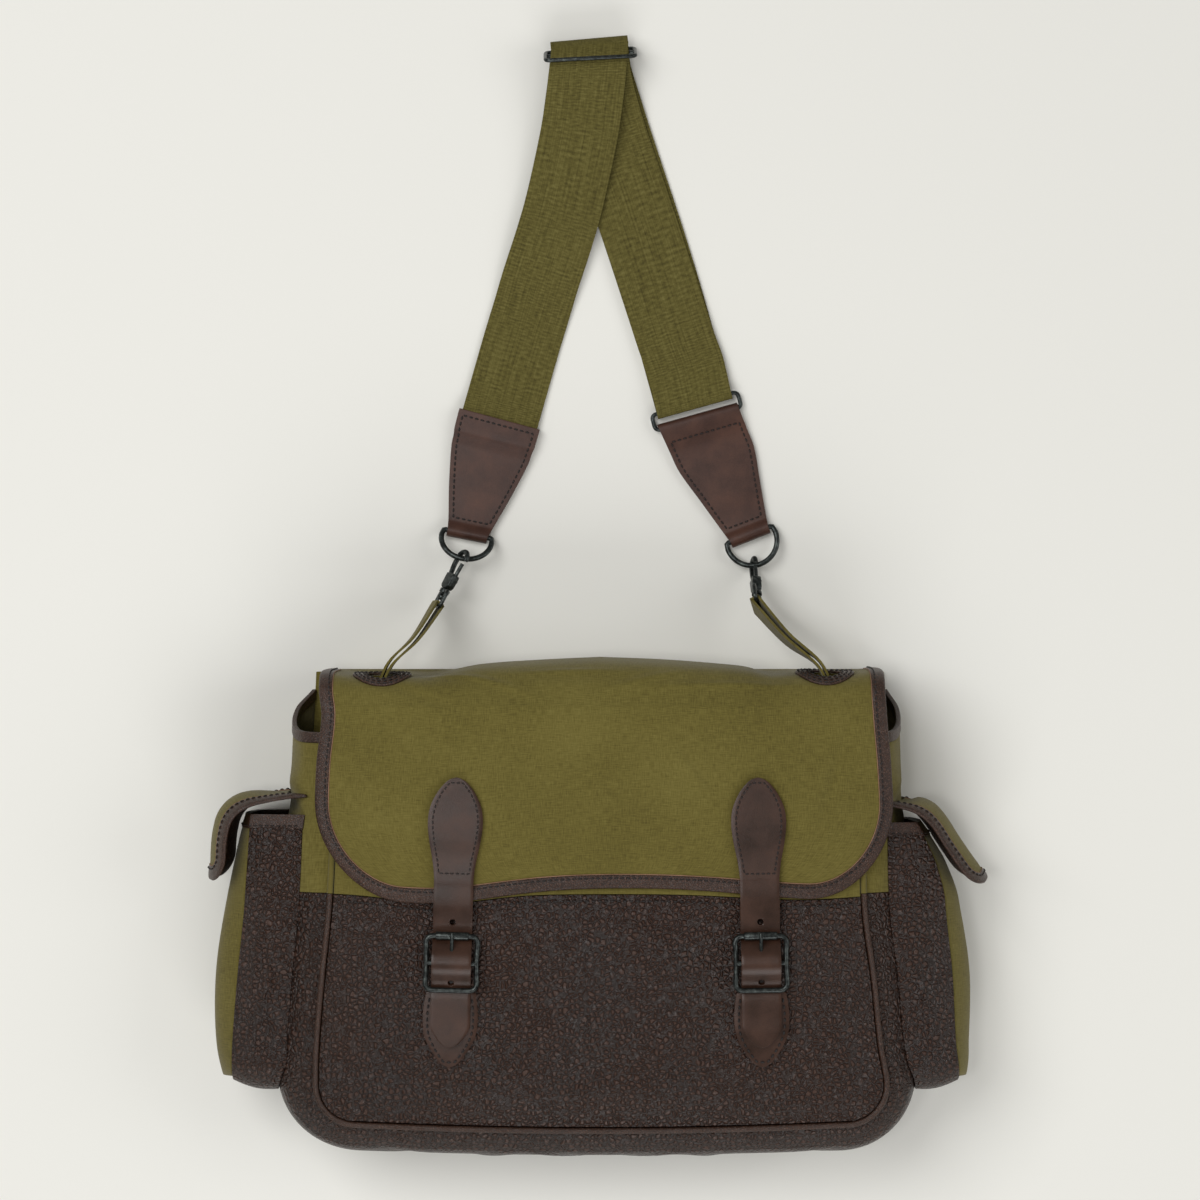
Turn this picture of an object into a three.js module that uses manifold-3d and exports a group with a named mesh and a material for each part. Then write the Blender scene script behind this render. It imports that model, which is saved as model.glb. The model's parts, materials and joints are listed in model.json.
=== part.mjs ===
// Military field bag, canvas and pebbled leather, lying on its back with its strap laid out above it.
// Millimetres. +X is to the right of the bag, +Y runs from its bottom to its mouth and on to the strap,
// +Z comes out of its front. The origin is the centre of the back panel's outer face.
import * as THREE from "three";
import { mergeVertices } from "three/addons/utils/BufferGeometryUtils.js";
import Module from "manifold-3d";

const wasm = await Module();
wasm.setup();

// Body
const backWidth = 390;
const backHeight = 299;
const backCorner = 50;
const backWall = 2;
const frontWidth = 366;
const frontHeight = 251;
const frontSetback = 10.5; // the front's bottom seam above the back's bottom edge
const frontCorner = 26;
const frontBow = 4; // the bottom seam hangs lower in its middle
const frontCrown = 9; // the filled front above its seam
const bagDepth = 90; // floor to the front seam
const leatherHeight = 148; // front leather from the bottom seam up
const leatherWall = 2;
const canvasWall = 1.5;
const pipingRadius = 2;
const sideBulgeLeft = 22;
const sideBulgeRight = 17;
const bottomBulge = 17;
const mouthTrimHeight = 7;
const mouthRise = 26; // the sides' mouth is this much higher at the back

// Flap
const flapWidth = 366;
const flapCorner = 56;
const flapAboveSeam = 4.5;
const flapLift = 1.5;
const flapTopBulge = 8.7;
const flapTopRun = 21; // from the back's top edge to where the flap lies flat on the front
const flapGirth = 118; // along the flap from the back's top edge to the same place
const bindingWidth = 9;
const bindingProud = 0.8;
const patchSpacing = 285;
const patchShift = 2.2;
const patchAlong = 80;
const patchHalfWidth = 19;
const patchHalfHeight = 21;
const slotHalfWidth = 10.5;
const slotHalfHeight = 12.6;
const patchWall = 1.8;

// Side pockets
const pocketDepth = 36.5;
const pocketMouthLeft = 50; // above the front's seam
const pocketMouthRight = 45;
const pocketAboveBack = 29.5; // the pockets' bottom above the back's bottom edge
const pocketFrontZ = 78;
const pocketBackZ = 12;
const pocketTaper = 6; // the pocket's face is this much shallower at each side than its foot
const pocketCorner = 22;
const pocketBulgeLeft = 16;
const pocketBulgeRight = 13;
const pocketMouthBinding = 9;
const pocketFlapLength = 96;
const pocketFlapFrontZ = 81;
const pocketFlapBackZ = 10;
const pocketFlapCorner = 18;
const pocketFlapBinding = 7;
const pocketFlapTopLeft = 13; // above the pocket's mouth
const pocketFlapTopRight = 13;

// Front fastenings
const fasteningSpacing = 197;
const fasteningShift = 4;
const strapWidth = 25;
const strapWall = 2.5;
const strapTopWidth = 35;
const strapTopLength = 64; // teardrop, from its tip to where the strap has its own width
const strapTopRise = 75; // above the front's seam
const strapTipDrop = 97; // below the front's seam
const buckleDrop = 43;
const buckleLength = 38;
const buckleWidth = 34;
const buckleWire = 1.6;
const buckleHeight = 6.6; // the buckle's wire above the front leather
const rollerRadius = 2.6;
const rollerLength = 21;
const chapeWidth = 35;
const chapeWall = 1.8;
const chapeTipDrop = 110;
const prongWire = 1.1;
const strapHoleRadius = 1.7;

// Carrying strap
const webbingWidth = 51;
const webbingWall = 1.8;
const endLeatherWall = 2;
const endTopWidth = 55;
const endFootWidth = 27;
const dRingWidth = 33.6;
const dRingHeight = 21;
const dRingWire = 1.8;
const ringBarGap = 10.6;
const ringWidth = 59;
const ringWire = 1.4;
const sliderBarGap = 12;
const sliderWidth = 59;
const sliderWire = 1.4;
const tabWidth = 18;
const tabWall = 1.5;
const hookInner = 3.1;
const hookWire = 1.7;
const hookBodyTop = 12;
const hookBodyLength = 11;
const hookBodyWidth = 8;
const hookBodyThickness = 5.8;
const gateWire = 1.3;
const gatePivotX = 2.6;
const gatePivotY = 16;
const eyeWidth = 20.5;
const eyeHeight = 11;
const eyeWire = 1.3;
const eyeBossRadius = 3.4;
const eyeBossHeight = 3;
const swivelRadius = 1.5;
const swivelHead = 2.9;

const gap = 0.3; // between pieces that touch
const seamGap = 0.7; // between edges that meet along a curve
const runningGap = 0.3; // round a pin

const backBottom = -backHeight / 2;
const backTop = backHeight / 2;
const frontBottom = backBottom + frontSetback;
const mouthY = frontBottom + frontHeight;
const seamY = frontBottom + leatherHeight;
const pocketBottom = backBottom + pocketAboveBack;
const strapTopY = seamY + strapTopRise;
const strapTipY = seamY - strapTipDrop;
const buckleY = seamY - buckleDrop;
const chapeTipY = seamY - chapeTipDrop;
const pipingZ = bagDepth - pipingRadius + 0.5;
const gussetTopZ = pipingZ - pipingRadius - gap;
const gussetFootZ = backWall + gap;

// Materials
const paint = (color, roughness, metalness = 0) => ({ color, roughness, metalness });
const canvasPaint = paint(0x6d6433, 0.9);
const webbingPaint = paint(0x5a522a, 0.9);
const grainPaint = paint(0x3f322b, 0.45);
const smoothPaint = paint(0x44342d, 0.4);
const steelPaint = paint(0x2c2f30, 0.35, 0.8);

const group = new THREE.Group();
const v3 = (x, y, z) => new THREE.Vector3(x, y, z);
const mix = THREE.MathUtils.lerp;
const clamp = THREE.MathUtils.clamp;
const smooth = THREE.MathUtils.smoothstep;
const degrees = THREE.MathUtils.degToRad;

function addPiece(name, geometry, look, parent = group) {
  const mesh = new THREE.Mesh(geometry, new THREE.MeshStandardMaterial(look));
  mesh.name = name;
  parent.add(mesh);
  return mesh;
}

// A value between the rows of a table, by one of its columns.
function between(table, key, at, column) {
  const last = table.length - 1;
  if (at <= table[0][key]) return table[0][column];
  for (let i = 0; i < last; i += 1) {
    const low = table[i];
    const high = table[i + 1];
    if (at <= high[key]) return mix(low[column], high[column], (at - low[key]) / (high[key] - low[key]));
  }
  return table[last][column];
}

// Soft folds and dents: each row is a ridge with a place, a turn, a length, a width and a height.
function foldHeight(table, across, along) {
  let height = 0;
  for (const fold of table) {
    const turn = degrees(fold.turn);
    const dx = across - fold.across;
    const dy = along - fold.along;
    const lengthwise = (dx * Math.cos(turn) + dy * Math.sin(turn)) / fold.long;
    const sideways = (-dx * Math.sin(turn) + dy * Math.cos(turn)) / fold.wide;
    height += fold.high * Math.exp(-lengthwise * lengthwise - sideways * sideways);
  }
  return height;
}

function geometryFrom(positions, index) {
  const geometry = new THREE.BufferGeometry();
  geometry.setAttribute("position", new THREE.Float32BufferAttribute(positions, 3));
  geometry.setIndex(index);
  return faceOut(geometry);
}

// Turns a closed mesh inside out where its faces point in.
function faceOut(geometry) {
  const place = geometry.attributes.position;
  const index = geometry.index.array;
  const [a, b, c] = [v3(0, 0, 0), v3(0, 0, 0), v3(0, 0, 0)];
  let volume = 0;
  for (let i = 0; i < index.length; i += 3) {
    a.fromBufferAttribute(place, index[i]);
    b.fromBufferAttribute(place, index[i + 1]);
    c.fromBufferAttribute(place, index[i + 2]);
    volume += a.dot(b.cross(c));
  }
  if (volume < 0) {
    for (let i = 0; i < index.length; i += 3) [index[i + 1], index[i + 2]] = [index[i + 2], index[i + 1]];
  }
  return geometry;
}

// A closed solid between two grids of points of the same size.
function gridSolid(outer, inner) {
  const rows = outer.length;
  const columns = outer[0].length;
  const positions = [...outer.flat(), ...inner.flat()].flatMap((p) => [p.x, p.y, p.z]);
  const index = [];
  const top = (r, c) => r * columns + c;
  const under = (r, c) => (rows + r) * columns + c;
  const quad = (a, b, c, d) => index.push(a, b, c, a, c, d);
  for (let r = 0; r < rows - 1; r += 1) {
    for (let c = 0; c < columns - 1; c += 1) {
      quad(top(r, c), top(r, c + 1), top(r + 1, c + 1), top(r + 1, c));
      quad(under(r, c), under(r + 1, c), under(r + 1, c + 1), under(r, c + 1));
    }
    quad(top(r, 0), top(r + 1, 0), under(r + 1, 0), under(r, 0));
    quad(top(r, columns - 1), under(r, columns - 1), under(r + 1, columns - 1), top(r + 1, columns - 1));
  }
  for (let c = 0; c < columns - 1; c += 1) {
    quad(top(0, c), under(0, c), under(0, c + 1), top(0, c + 1));
    quad(top(rows - 1, c), top(rows - 1, c + 1), under(rows - 1, c + 1), under(rows - 1, c));
  }
  return geometryFrom(positions, index);
}

// The normals of a grid of points, on the side away from a point inside.
function gridNormals(grid, inside) {
  const rows = grid.length;
  const columns = grid[0].length;
  const normals = grid.map((row, r) => row.map((point, c) => {
    const along = grid[Math.min(r + 1, rows - 1)][c].clone().sub(grid[Math.max(r - 1, 0)][c]);
    const across = grid[r][Math.min(c + 1, columns - 1)].clone().sub(grid[r][Math.max(c - 1, 0)]);
    return across.cross(along).normalize();
  }));
  const r = Math.floor(rows / 2);
  const c = Math.floor(columns / 2);
  const side = Math.sign(normals[r][c].dot(grid[r][c].clone().sub(inside)));
  normals.flat().forEach((normal) => normal.multiplyScalar(side));
  return normals;
}

// A sheet with a wall: the grid is its outer face, raised by proud.
function thickSheet(grid, wall, inside, proud = 0) {
  const normals = gridNormals(grid, inside);
  const shifted = (by) => grid.map((row, r) => row.map((p, c) => p.clone().addScaledVector(normals[r][c], by)));
  return gridSolid(shifted(proud), shifted(proud - wall));
}

// A solid through rings of points, closed on itself or with a cap at each end.
function loft(rings, closed = false) {
  const count = rings[0].length;
  const positions = rings.flat().flatMap((p) => [p.x, p.y, p.z]);
  const index = [];
  const last = closed ? rings.length : rings.length - 1;
  for (let r = 0; r < last; r += 1) {
    const next = (r + 1) % rings.length;
    for (let i = 0; i < count; i += 1) {
      const j = (i + 1) % count;
      index.push(r * count + i, r * count + j, next * count + j);
      index.push(r * count + i, next * count + j, next * count + i);
    }
  }
  if (!closed) {
    const end = (rings.length - 1) * count;
    for (let i = 1; i < count - 1; i += 1) {
      index.push(0, i + 1, i);
      index.push(end, end + i, end + i + 1);
    }
  }
  return geometryFrom(positions, index);
}

// A wire round a flat closed outline, in the outline's own plane.
function wireRing(outline, radius, sides = 6) {
  const count = outline.length;
  const rings = outline.map((point, i) => {
    const before = outline[(i + count - 1) % count];
    const after = outline[(i + 1) % count];
    const tangent = after.clone().sub(before).normalize();
    return Array.from({ length: sides }, (_, k) => {
      const angle = (2 * Math.PI * (k + 0.5)) / sides;
      const out = radius * Math.cos(angle);
      return v3(point.x + tangent.y * out, point.y - tangent.x * out, radius * Math.sin(angle));
    });
  });
  return loft(rings, true);
}

// A wire along a flat open line of points with their outward directions, at a height.
function wireOn(line, z, radius, sides = 6) {
  return loft(line.map(({ point, out }) => Array.from({ length: sides }, (_, k) => {
    const angle = (2 * Math.PI * (k + 0.5)) / sides;
    const centre = point.clone().addScaledVector(out, radius * Math.cos(angle));
    return centre.setZ(z + radius * Math.sin(angle));
  })));
}

function roundedOutline(width, height, corner, steps = 3) {
  const points = [];
  const corners = [[1, 1, 0], [-1, 1, 90], [-1, -1, 180], [1, -1, 270]];
  for (const [sx, sy, start] of corners) {
    for (let i = 0; i <= steps; i += 1) {
      const angle = degrees(start + (90 * i) / steps);
      const x = sx * (width / 2 - corner) + corner * Math.cos(angle);
      points.push(new THREE.Vector2(x, sy * (height / 2 - corner) + corner * Math.sin(angle)));
    }
  }
  return points;
}

// A round wire along a smooth open curve.
function wireAlong(points, radius, steps, sides = 8) {
  const section = new THREE.Shape(Array.from({ length: sides }, (_, i) => {
    const angle = (2 * Math.PI * i) / sides;
    return new THREE.Vector2(radius * Math.cos(angle), radius * Math.sin(angle));
  }));
  const path = new THREE.CatmullRomCurve3(points);
  return new THREE.ExtrudeGeometry(section, { steps, extrudePath: path });
}

// A flat ribbon through stations, each with a centre and the direction across.
function ribbon(stations, wall) {
  const rings = stations.map((station, i) => {
    const before = stations[Math.max(i - 1, 0)].centre;
    const after = stations[Math.min(i + 1, stations.length - 1)].centre;
    const up = station.across.clone().cross(after.clone().sub(before)).normalize().multiplyScalar(wall / 2);
    const half = station.across.clone().multiplyScalar(station.width / 2);
    return [[1, 1], [-1, 1], [-1, -1], [1, -1]].map(([side, face]) => (
      station.centre.clone().addScaledVector(half, side).addScaledVector(up, face)
    ));
  });
  return loft(rings);
}

// The height of a faceted sheet above a place on the floor.
function heightOn(grids, x, y) {
  let height = -Infinity;
  const side = (a, b) => (b.x - a.x) * (y - a.y) - (b.y - a.y) * (x - a.x);
  const test = (a, b, c) => {
    const [u, v, w] = [side(b, c), side(c, a), side(a, b)];
    const area = u + v + w;
    if (area === 0 || Math.min(u / area, v / area, w / area) < -1e-9) return;
    height = Math.max(height, (a.z * u + b.z * v + c.z * w) / area);
  };
  for (const grid of grids) {
    for (let r = 0; r < grid.length - 1; r += 1) {
      for (let c = 0; c < grid[0].length - 1; c += 1) {
        test(grid[r][c], grid[r][c + 1], grid[r + 1][c + 1]);
        test(grid[r][c], grid[r + 1][c + 1], grid[r + 1][c]);
      }
    }
  }
  return height;
}

function toManifold(geometry) {
  const plain = geometry.clone();
  plain.deleteAttribute("normal");
  plain.deleteAttribute("uv");
  const merged = mergeVertices(plain, 1e-4);
  return new wasm.Manifold(new wasm.Mesh({
    numProp: 3,
    vertProperties: Float32Array.from(merged.attributes.position.array),
    triVerts: Uint32Array.from(merged.index.array),
  }));
}

function fromManifold(manifold) {
  const mesh = manifold.getMesh();
  const geometry = new THREE.BufferGeometry();
  geometry.setAttribute("position", new THREE.Float32BufferAttribute(mesh.vertProperties, mesh.numProp));
  geometry.setIndex(Array.from(mesh.triVerts));
  return geometry;
}

function join(...pieces) {
  return fromManifold(pieces.map(toManifold).reduce((whole, piece) => whole.add(piece)));
}

function cut(body, ...tools) {
  return fromManifold(tools.map(toManifold).reduce((whole, tool) => whole.subtract(tool), toManifold(body)));
}

// Geometry moved into a frame made of an origin and two directions.
function frameMatrix(origin, xAxis, yAxis) {
  const zAxis = xAxis.clone().cross(yAxis).normalize();
  return new THREE.Matrix4().makeBasis(xAxis.clone().normalize(), yAxis.clone().normalize(), zAxis)
    .setPosition(origin);
}

// Front outline: half widths as shares of half the front's width, down from the mouth.
const frontSides = [
  { down: 0, left: 0.92, right: 0.92 },
  { down: 0.43, left: 0.946, right: 0.924 },
  { down: 0.63, left: 0.973, right: 0.958 },
  { down: 0.8, left: 0.992, right: 0.982 },
  { down: 0.89, left: 0.995, right: 1.003 },
];

// Back outline, the same way.
const backSides = [
  { down: 0, left: 0.965, right: 0.965 },
  { down: 0.3, left: 0.985, right: 0.985 },
  { down: 0.7, left: 1, right: 1 },
];

const sideName = (side) => (side < 0 ? "left" : "right");

function frontHalf(y, side) {
  return (frontWidth / 2) * between(frontSides, "down", (mouthY - y) / frontHeight, sideName(side));
}

function backHalf(y, side) {
  return (backWidth / 2) * between(backSides, "down", (backTop - y) / backHeight, sideName(side));
}

const frontShape = { half: frontHalf, bottom: frontBottom, corner: frontCorner, bow: frontBow };
const backShape = { half: backHalf, bottom: backBottom, corner: backCorner, bow: 0 };

// The half width of a panel at a height, with its bottom corners rounded.
function panelHalf(shape, y, side, inset = 0) {
  const centreY = shape.bottom + shape.corner;
  const radius = shape.corner - inset;
  if (y >= centreY) return shape.half(y, side) - inset;
  const fall = Math.min(centreY - y, radius);
  return shape.half(centreY, side) - inset - radius + Math.sqrt(radius * radius - fall * fall);
}

// The bottom seam hangs lower towards its middle.
function bowAt(shape, x, side) {
  const flat = shape.half(shape.bottom, side) - shape.corner;
  return shape.bow * Math.max(0, 1 - (x / flat) ** 2);
}

// A U from the left side, down, round the bottom and up the right side, with its outward directions.
function uOutline(shape, topY, sideSteps, cornerSteps, bottomSteps) {
  const half = [];
  for (const side of [-1, 1]) {
    const points = [];
    const centreY = shape.bottom + shape.corner;
    const reach = shape.half(centreY, side);
    for (let i = 0; i < sideSteps; i += 1) {
      const y = mix(topY, centreY, i / sideSteps);
      points.push(v3(side * shape.half(y, side), y, 0));
    }
    for (let i = 0; i <= cornerSteps; i += 1) {
      const angle = (Math.PI / 2) * (i / cornerSteps);
      const x = reach - shape.corner * (1 - Math.cos(angle));
      points.push(v3(side * x, centreY - shape.corner * Math.sin(angle), 0));
    }
    for (let i = 1; i < bottomSteps; i += 1) {
      const x = (reach - shape.corner) * (1 - i / bottomSteps);
      points.push(v3(side * x, shape.bottom - bowAt(shape, x, side), 0));
    }
    half.push(points);
  }
  const points = [...half[0], v3(0, shape.bottom - shape.bow, 0), ...half[1].reverse()];
  return points.map((point, i) => {
    const before = points[Math.max(i - 1, 0)];
    const after = points[Math.min(i + 1, points.length - 1)];
    const out = v3(before.y - after.y, after.x - before.x, 0).normalize().negate();
    if (i === 0) out.set(-1, 0, 0);
    if (i === points.length - 1) out.set(1, 0, 0);
    return { point, out };
  });
}

// The gusset's section from the front seam to the back: how far along the depth, how far out.
const gussetSection = [
  { back: 0, out: 0.06 },
  { back: 0.04, out: 0.45 },
  { back: 0.13, out: 0.9 },
  { back: 0.4, out: 1 },
  { back: 0.75, out: 0.68 },
  { back: 1, out: 0.05 },
];

const sideBulge = (side) => (side < 0 ? sideBulgeLeft : sideBulgeRight);

function bulgeFor(out) {
  const side = sideBulge(out.x);
  return side * out.x * out.x + bottomBulge * out.y * out.y;
}

// Puckers on the leather under and beside the bag: along the U, across the depth.
const gussetFolds = [
  { across: 0.35, along: 0.31, long: 0.3, wide: 0.014, high: -1.6, turn: 8 },
  { across: 0.45, along: 0.37, long: 0.35, wide: 0.012, high: 1.4, turn: -6 },
  { across: 0.4, along: 0.62, long: 0.3, wide: 0.013, high: 1.3, turn: 5 },
  { across: 0.5, along: 0.69, long: 0.3, wide: 0.014, high: -1.5, turn: -8 },
];

function gussetGrid(frontLine, backLine) {
  return frontLine.map((front, i) => {
    const back = backLine[i];
    const out = front.out.clone().add(back.out).normalize();
    return gussetSection.map((row) => {
      const point = front.point.clone().lerp(back.point, row.back);
      const fold = foldHeight(gussetFolds, row.back, i / (frontLine.length - 1)) * row.out;
      point.addScaledVector(out, bulgeFor(out) * row.out + fold);
      return point.setZ(mix(gussetTopZ, gussetFootZ, row.back));
    });
  });
}

const bodyMiddle = v3(0, 0, bagDepth / 2);

// Back panel: a flat sheet with its top edge straight and its bottom corners round.
const backRows = [0, 0.33, 0.665, 0.72, 0.8, 0.88, 0.95, 1];
const backGrid = backRows.map((down) => {
  const y = mix(backTop, backBottom, down);
  return [-1, -0.5, 0, 0.5, 1].map((share) => v3(share * panelHalf(backShape, y, share || 1), y, 0));
});
const backInner = backGrid.map((row) => row.map((point) => point.clone().setZ(backWall)));
addPiece("back_panel", gridSolid(backGrid, backInner), canvasPaint);

const gussetSideSteps = 4;
const gussetCornerSteps = 4;
const gussetBottomSteps = 5;
const frontU = uOutline(frontShape, seamY, gussetSideSteps, gussetCornerSteps, gussetBottomSteps);
const backU = uOutline(backShape, seamY, gussetSideSteps, gussetCornerSteps, gussetBottomSteps);
const gussetStations = gussetGrid(frontU, backU);
addPiece("gusset_leather", thickSheet(gussetStations, leatherWall, bodyMiddle), grainPaint);

// The canvas at the top of each side, with its mouth higher at the back, and the trim on it.
const sideFolds = [
  { across: 0.3, along: 0.55, long: 0.25, wide: 0.07, high: -2.2, turn: 10 },
  { across: 0.25, along: 0.72, long: 0.25, wide: 0.07, high: 2, turn: -8 },
  { across: 0.6, along: 0.4, long: 0.3, wide: 0.09, high: 1.8, turn: 5 },
];

function mouthHeight(back) {
  return mouthY - mouthTrimHeight + mouthRise * back * back;
}

function sidePoint(side, y, row, along) {
  const fold = foldHeight(sideFolds, row.back, along) * row.out;
  const reach = mix(frontHalf(y, side), backHalf(y, side), row.back) + sideBulge(side) * row.out + fold;
  return v3(side * reach, y, mix(gussetTopZ, gussetFootZ, row.back));
}

const sideRows = [0, 0.25, 0.45, 0.6, 0.75, 0.9, 1];
const sideStations = {
  left: gussetStations.slice(0, Math.ceil(gussetStations.length / 2)),
  right: gussetStations.slice(Math.floor(gussetStations.length / 2)).reverse(),
};
for (const side of [-1, 1]) {
  const grid = sideRows.map((along) => gussetSection.map((row) => {
    return sidePoint(side, mix(seamY + gap, mouthHeight(row.back), along), row, along);
  }));
  addPiece(`gusset_canvas_${sideName(side)}`, thickSheet(grid, canvasWall, bodyMiddle), canvasPaint);
  sideStations[sideName(side)].unshift(...[...grid].reverse());
  const trim = [gap, mouthTrimHeight / 2, mouthTrimHeight].map((up) => gussetSection.map((row) => {
    return sidePoint(side, mouthHeight(row.back) + up, row, 1);
  }));
  const trimWall = canvasWall + 2 * bindingProud;
  addPiece(`mouth_trim_${sideName(side)}`, thickSheet(trim, trimWall, bodyMiddle, bindingProud), smoothPaint);
}

// How far the bag's side stands out at a place along it and a height above the floor.
function sideReach(y, z, side) {
  const line = sideStations[sideName(side)].map((station) => {
    const last = station.length - 1;
    const row = station.findIndex((point, i) => i < last && z >= station[i + 1].z);
    const share = (station[row].z - z) / (station[row].z - station[row + 1].z);
    return station[row].clone().lerp(station[row + 1], share);
  });
  const below = line.findIndex((point, i) => i > 0 && point.y <= y);
  const share = (line[below - 1].y - y) / (line[below - 1].y - line[below].y);
  return Math.abs(mix(line[below - 1].x, line[below].x, share));
}

// The filled front: height above the floor at any place, with its dents.
const frontFolds = [
  { across: 0.3, along: 0.48, long: 0.32, wide: 0.11, high: -2.4, turn: 20 },
  { across: 0.7, along: 0.56, long: 0.24, wide: 0.12, high: 2, turn: -40 },
  { across: 0.1, along: 0.77, long: 0.3, wide: 0.12, high: -1.6, turn: 8 },
  { across: -0.3, along: 0.7, long: 0.24, wide: 0.12, high: -1.8, turn: 40 },
  { across: -0.74, along: 0.6, long: 0.2, wide: 0.12, high: 1.6, turn: 70 },
  { across: 0.62, along: 0.84, long: 0.26, wide: 0.1, high: -1.6, turn: -14 },
];

function frontZ(x, y) {
  const side = x < 0 ? -1 : 1;
  const across = Math.min(Math.abs(x) / frontHalf(y, side), 1);
  const filled = 1 - clamp(1 - (y - frontBottom) / 62, 0, 1) ** 3;
  const emptied = 1 - 0.3 * smooth(y, seamY + 40, mouthY);
  const crown = frontCrown * (1 - across ** 4) * filled * emptied;
  const dents = foldHeight(frontFolds, x / (frontWidth / 2), (mouthY - y) / frontHeight);
  return bagDepth + crown + dents * (1 - across ** 6) * Math.min(1, filled * 1.2);
}

// The seam between front leather and canvas dips in places, and so does the flap's edge.
const seamDips = [
  { across: -0.56, deep: -6, wide: 0.22 },
  { across: 0.7, deep: -3.5, wide: 0.3 },
];
const flapDips = [
  { across: -0.6, deep: -10, wide: 0.33 },
  { across: 0.8, deep: -7.5, wide: 0.38 },
];

function dipAt(table, x) {
  const share = x / (frontWidth / 2);
  return table.reduce((sum, dip) => sum + dip.deep * Math.exp(-(((share - dip.across) / dip.wide) ** 2)), 0);
}

// A panel of the front between two levels, given as functions of x.
function frontPanel(rows, columns, level, wall, sink) {
  const inset = pipingRadius + seamGap;
  return rows.map((down) => columns.map((share) => {
    const side = share < 0 ? -1 : 1;
    const rough = level((side * frontWidth) / 2, down);
    const x = share * panelHalf(frontShape, rough, side, inset);
    const y = level(x, down);
    return v3(x, y, frontZ(x, y) - sink);
  }));
}

const frontColumns = [-1, -0.95, -0.83, -0.67, -0.5, -0.34, -0.17, 0, 0.17, 0.34, 0.5, 0.67, 0.83, 0.95, 1];
const leatherRows = [0, 0.12, 0.24, 0.36, 0.48, 0.6, 0.71, 0.81, 0.89, 0.94, 0.98, 1];

function leatherLevel(x, down) {
  const side = x < 0 ? -1 : 1;
  const bottom = frontBottom + pipingRadius + seamGap - bowAt(frontShape, x, side) * smooth(down, 0.5, 1);
  return mix(seamY + dipAt(seamDips, x) * (1 - down), bottom, down);
}

function canvasLevel(x, down) {
  return mix(mouthY, seamY + gap + dipAt(seamDips, x) * down, down);
}

const farBelow = v3(0, 0, -1000);
const leatherGrid = frontPanel(leatherRows, frontColumns, leatherLevel, leatherWall, 0);
addPiece("front_leather", thickSheet(leatherGrid, leatherWall, farBelow), grainPaint);
const canvasRows = [0, 0.33, 0.67, 1];
const canvasGrid = frontPanel(canvasRows, frontColumns, canvasLevel, canvasWall, leatherWall - canvasWall);
addPiece("front_canvas", thickSheet(canvasGrid, canvasWall, farBelow), canvasPaint);

// Piping along the front seam.
addPiece("front_piping", wireOn(uOutline(frontShape, mouthY, 4, 4, 4), pipingZ, pipingRadius), grainPaint);

// The flap's outer face. across is millimetres from the middle, along is millimetres from the back's top edge.
const flapWrap = [
  { out: 0, run: 0, up: 0.012 },
  { out: 0.5, run: 0, up: 0.07 },
  { out: 0.82, run: 0, up: 0.22 },
  { out: 1, run: 0, up: 0.46 },
  { out: 0.88, run: 0.02, up: 0.7 },
  { out: 0.62, run: 0.12, up: 0.86 },
  { out: 0.3, run: 0.42, up: 0.955 },
  { out: 0, run: 1, up: 1 },
];

// The top edge as seen from the front: full in the middle, drawn in where the tabs pull at the patches.
const flapTopLine = [
  { across: 0, left: 1, right: 1 },
  { across: 0.22, left: 0.78, right: 0.82 },
  { across: 0.42, left: 0.47, right: 0.5 },
  { across: 0.52, left: 0.05, right: 0.26 },
  { across: 0.6, left: -0.4, right: -0.2 },
  { across: 0.7, left: -0.35, right: -0.12 },
  { across: 0.85, left: -0.35, right: -0.2 },
  { across: 0.95, left: -0.05, right: 0.06 },
  { across: 1, left: 0, right: 0.1 },
];

// Folds on the flap: across is a share of half its width, along is a share of its length.
const flapFolds = [
  { across: -0.3, along: 0.52, long: 0.24, wide: 0.05, high: 1.6, turn: 8 },
  { across: 0.46, along: 0.51, long: 0.26, wide: 0.05, high: 1.4, turn: -6 },
  { across: -0.78, along: 0.68, long: 0.18, wide: 0.09, high: 1.8, turn: 60 },
  { across: 0.72, along: 0.72, long: 0.2, wide: 0.09, high: 1.6, turn: -50 },
  { across: -0.1, along: 0.86, long: 0.3, wide: 0.08, high: 1.2, turn: 10 },
];

const wrapEndY = backTop - flapTopRun;
const flapFlat = wrapEndY - (seamY + flapAboveSeam);
const flapLength = flapGirth + flapFlat;
const flapStart = canvasWall + gap;

function flapRest(x, y) {
  const side = x < 0 ? -1 : 1;
  const past = Math.max(0, Math.abs(x) - frontHalf(y, side));
  return frontZ(x, y) + flapLift + canvasWall - past * 0.2;
}

function flapPoint(across, along) {
  const fold = foldHeight(flapFolds, across / (flapWidth / 2), along / flapLength);
  if (along >= flapGirth) {
    const stretch = (along - flapGirth) / flapFlat;
    const y = wrapEndY - (flapFlat - dipAt(flapDips, across)) * stretch;
    return v3(across, y, flapRest(across, y) + fold);
  }
  const share = Math.abs(across) / (flapWidth / 2);
  const bulge = flapTopBulge * between(flapTopLine, "across", share, across < 0 ? "left" : "right");
  const top = flapRest(across, wrapEndY) + fold;
  const curve = new THREE.CatmullRomCurve3(flapWrap.map((row) => (
    v3(across, backTop + flapStart + row.out * bulge - row.run * (flapTopRun + flapStart), row.up * top)
  )));
  return curve.getPointAt(along / flapGirth);
}

// A surface's point raised along its own normal.
function raised(surface, across, along, lift) {
  const step = 0.5;
  const point = surface(across, along);
  const x = surface(across + step, along).sub(surface(across - step, along));
  const y = surface(across, along + step).sub(surface(across, Math.max(0, along - step)));
  return point.addScaledVector(y.cross(x).normalize(), lift);
}

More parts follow.
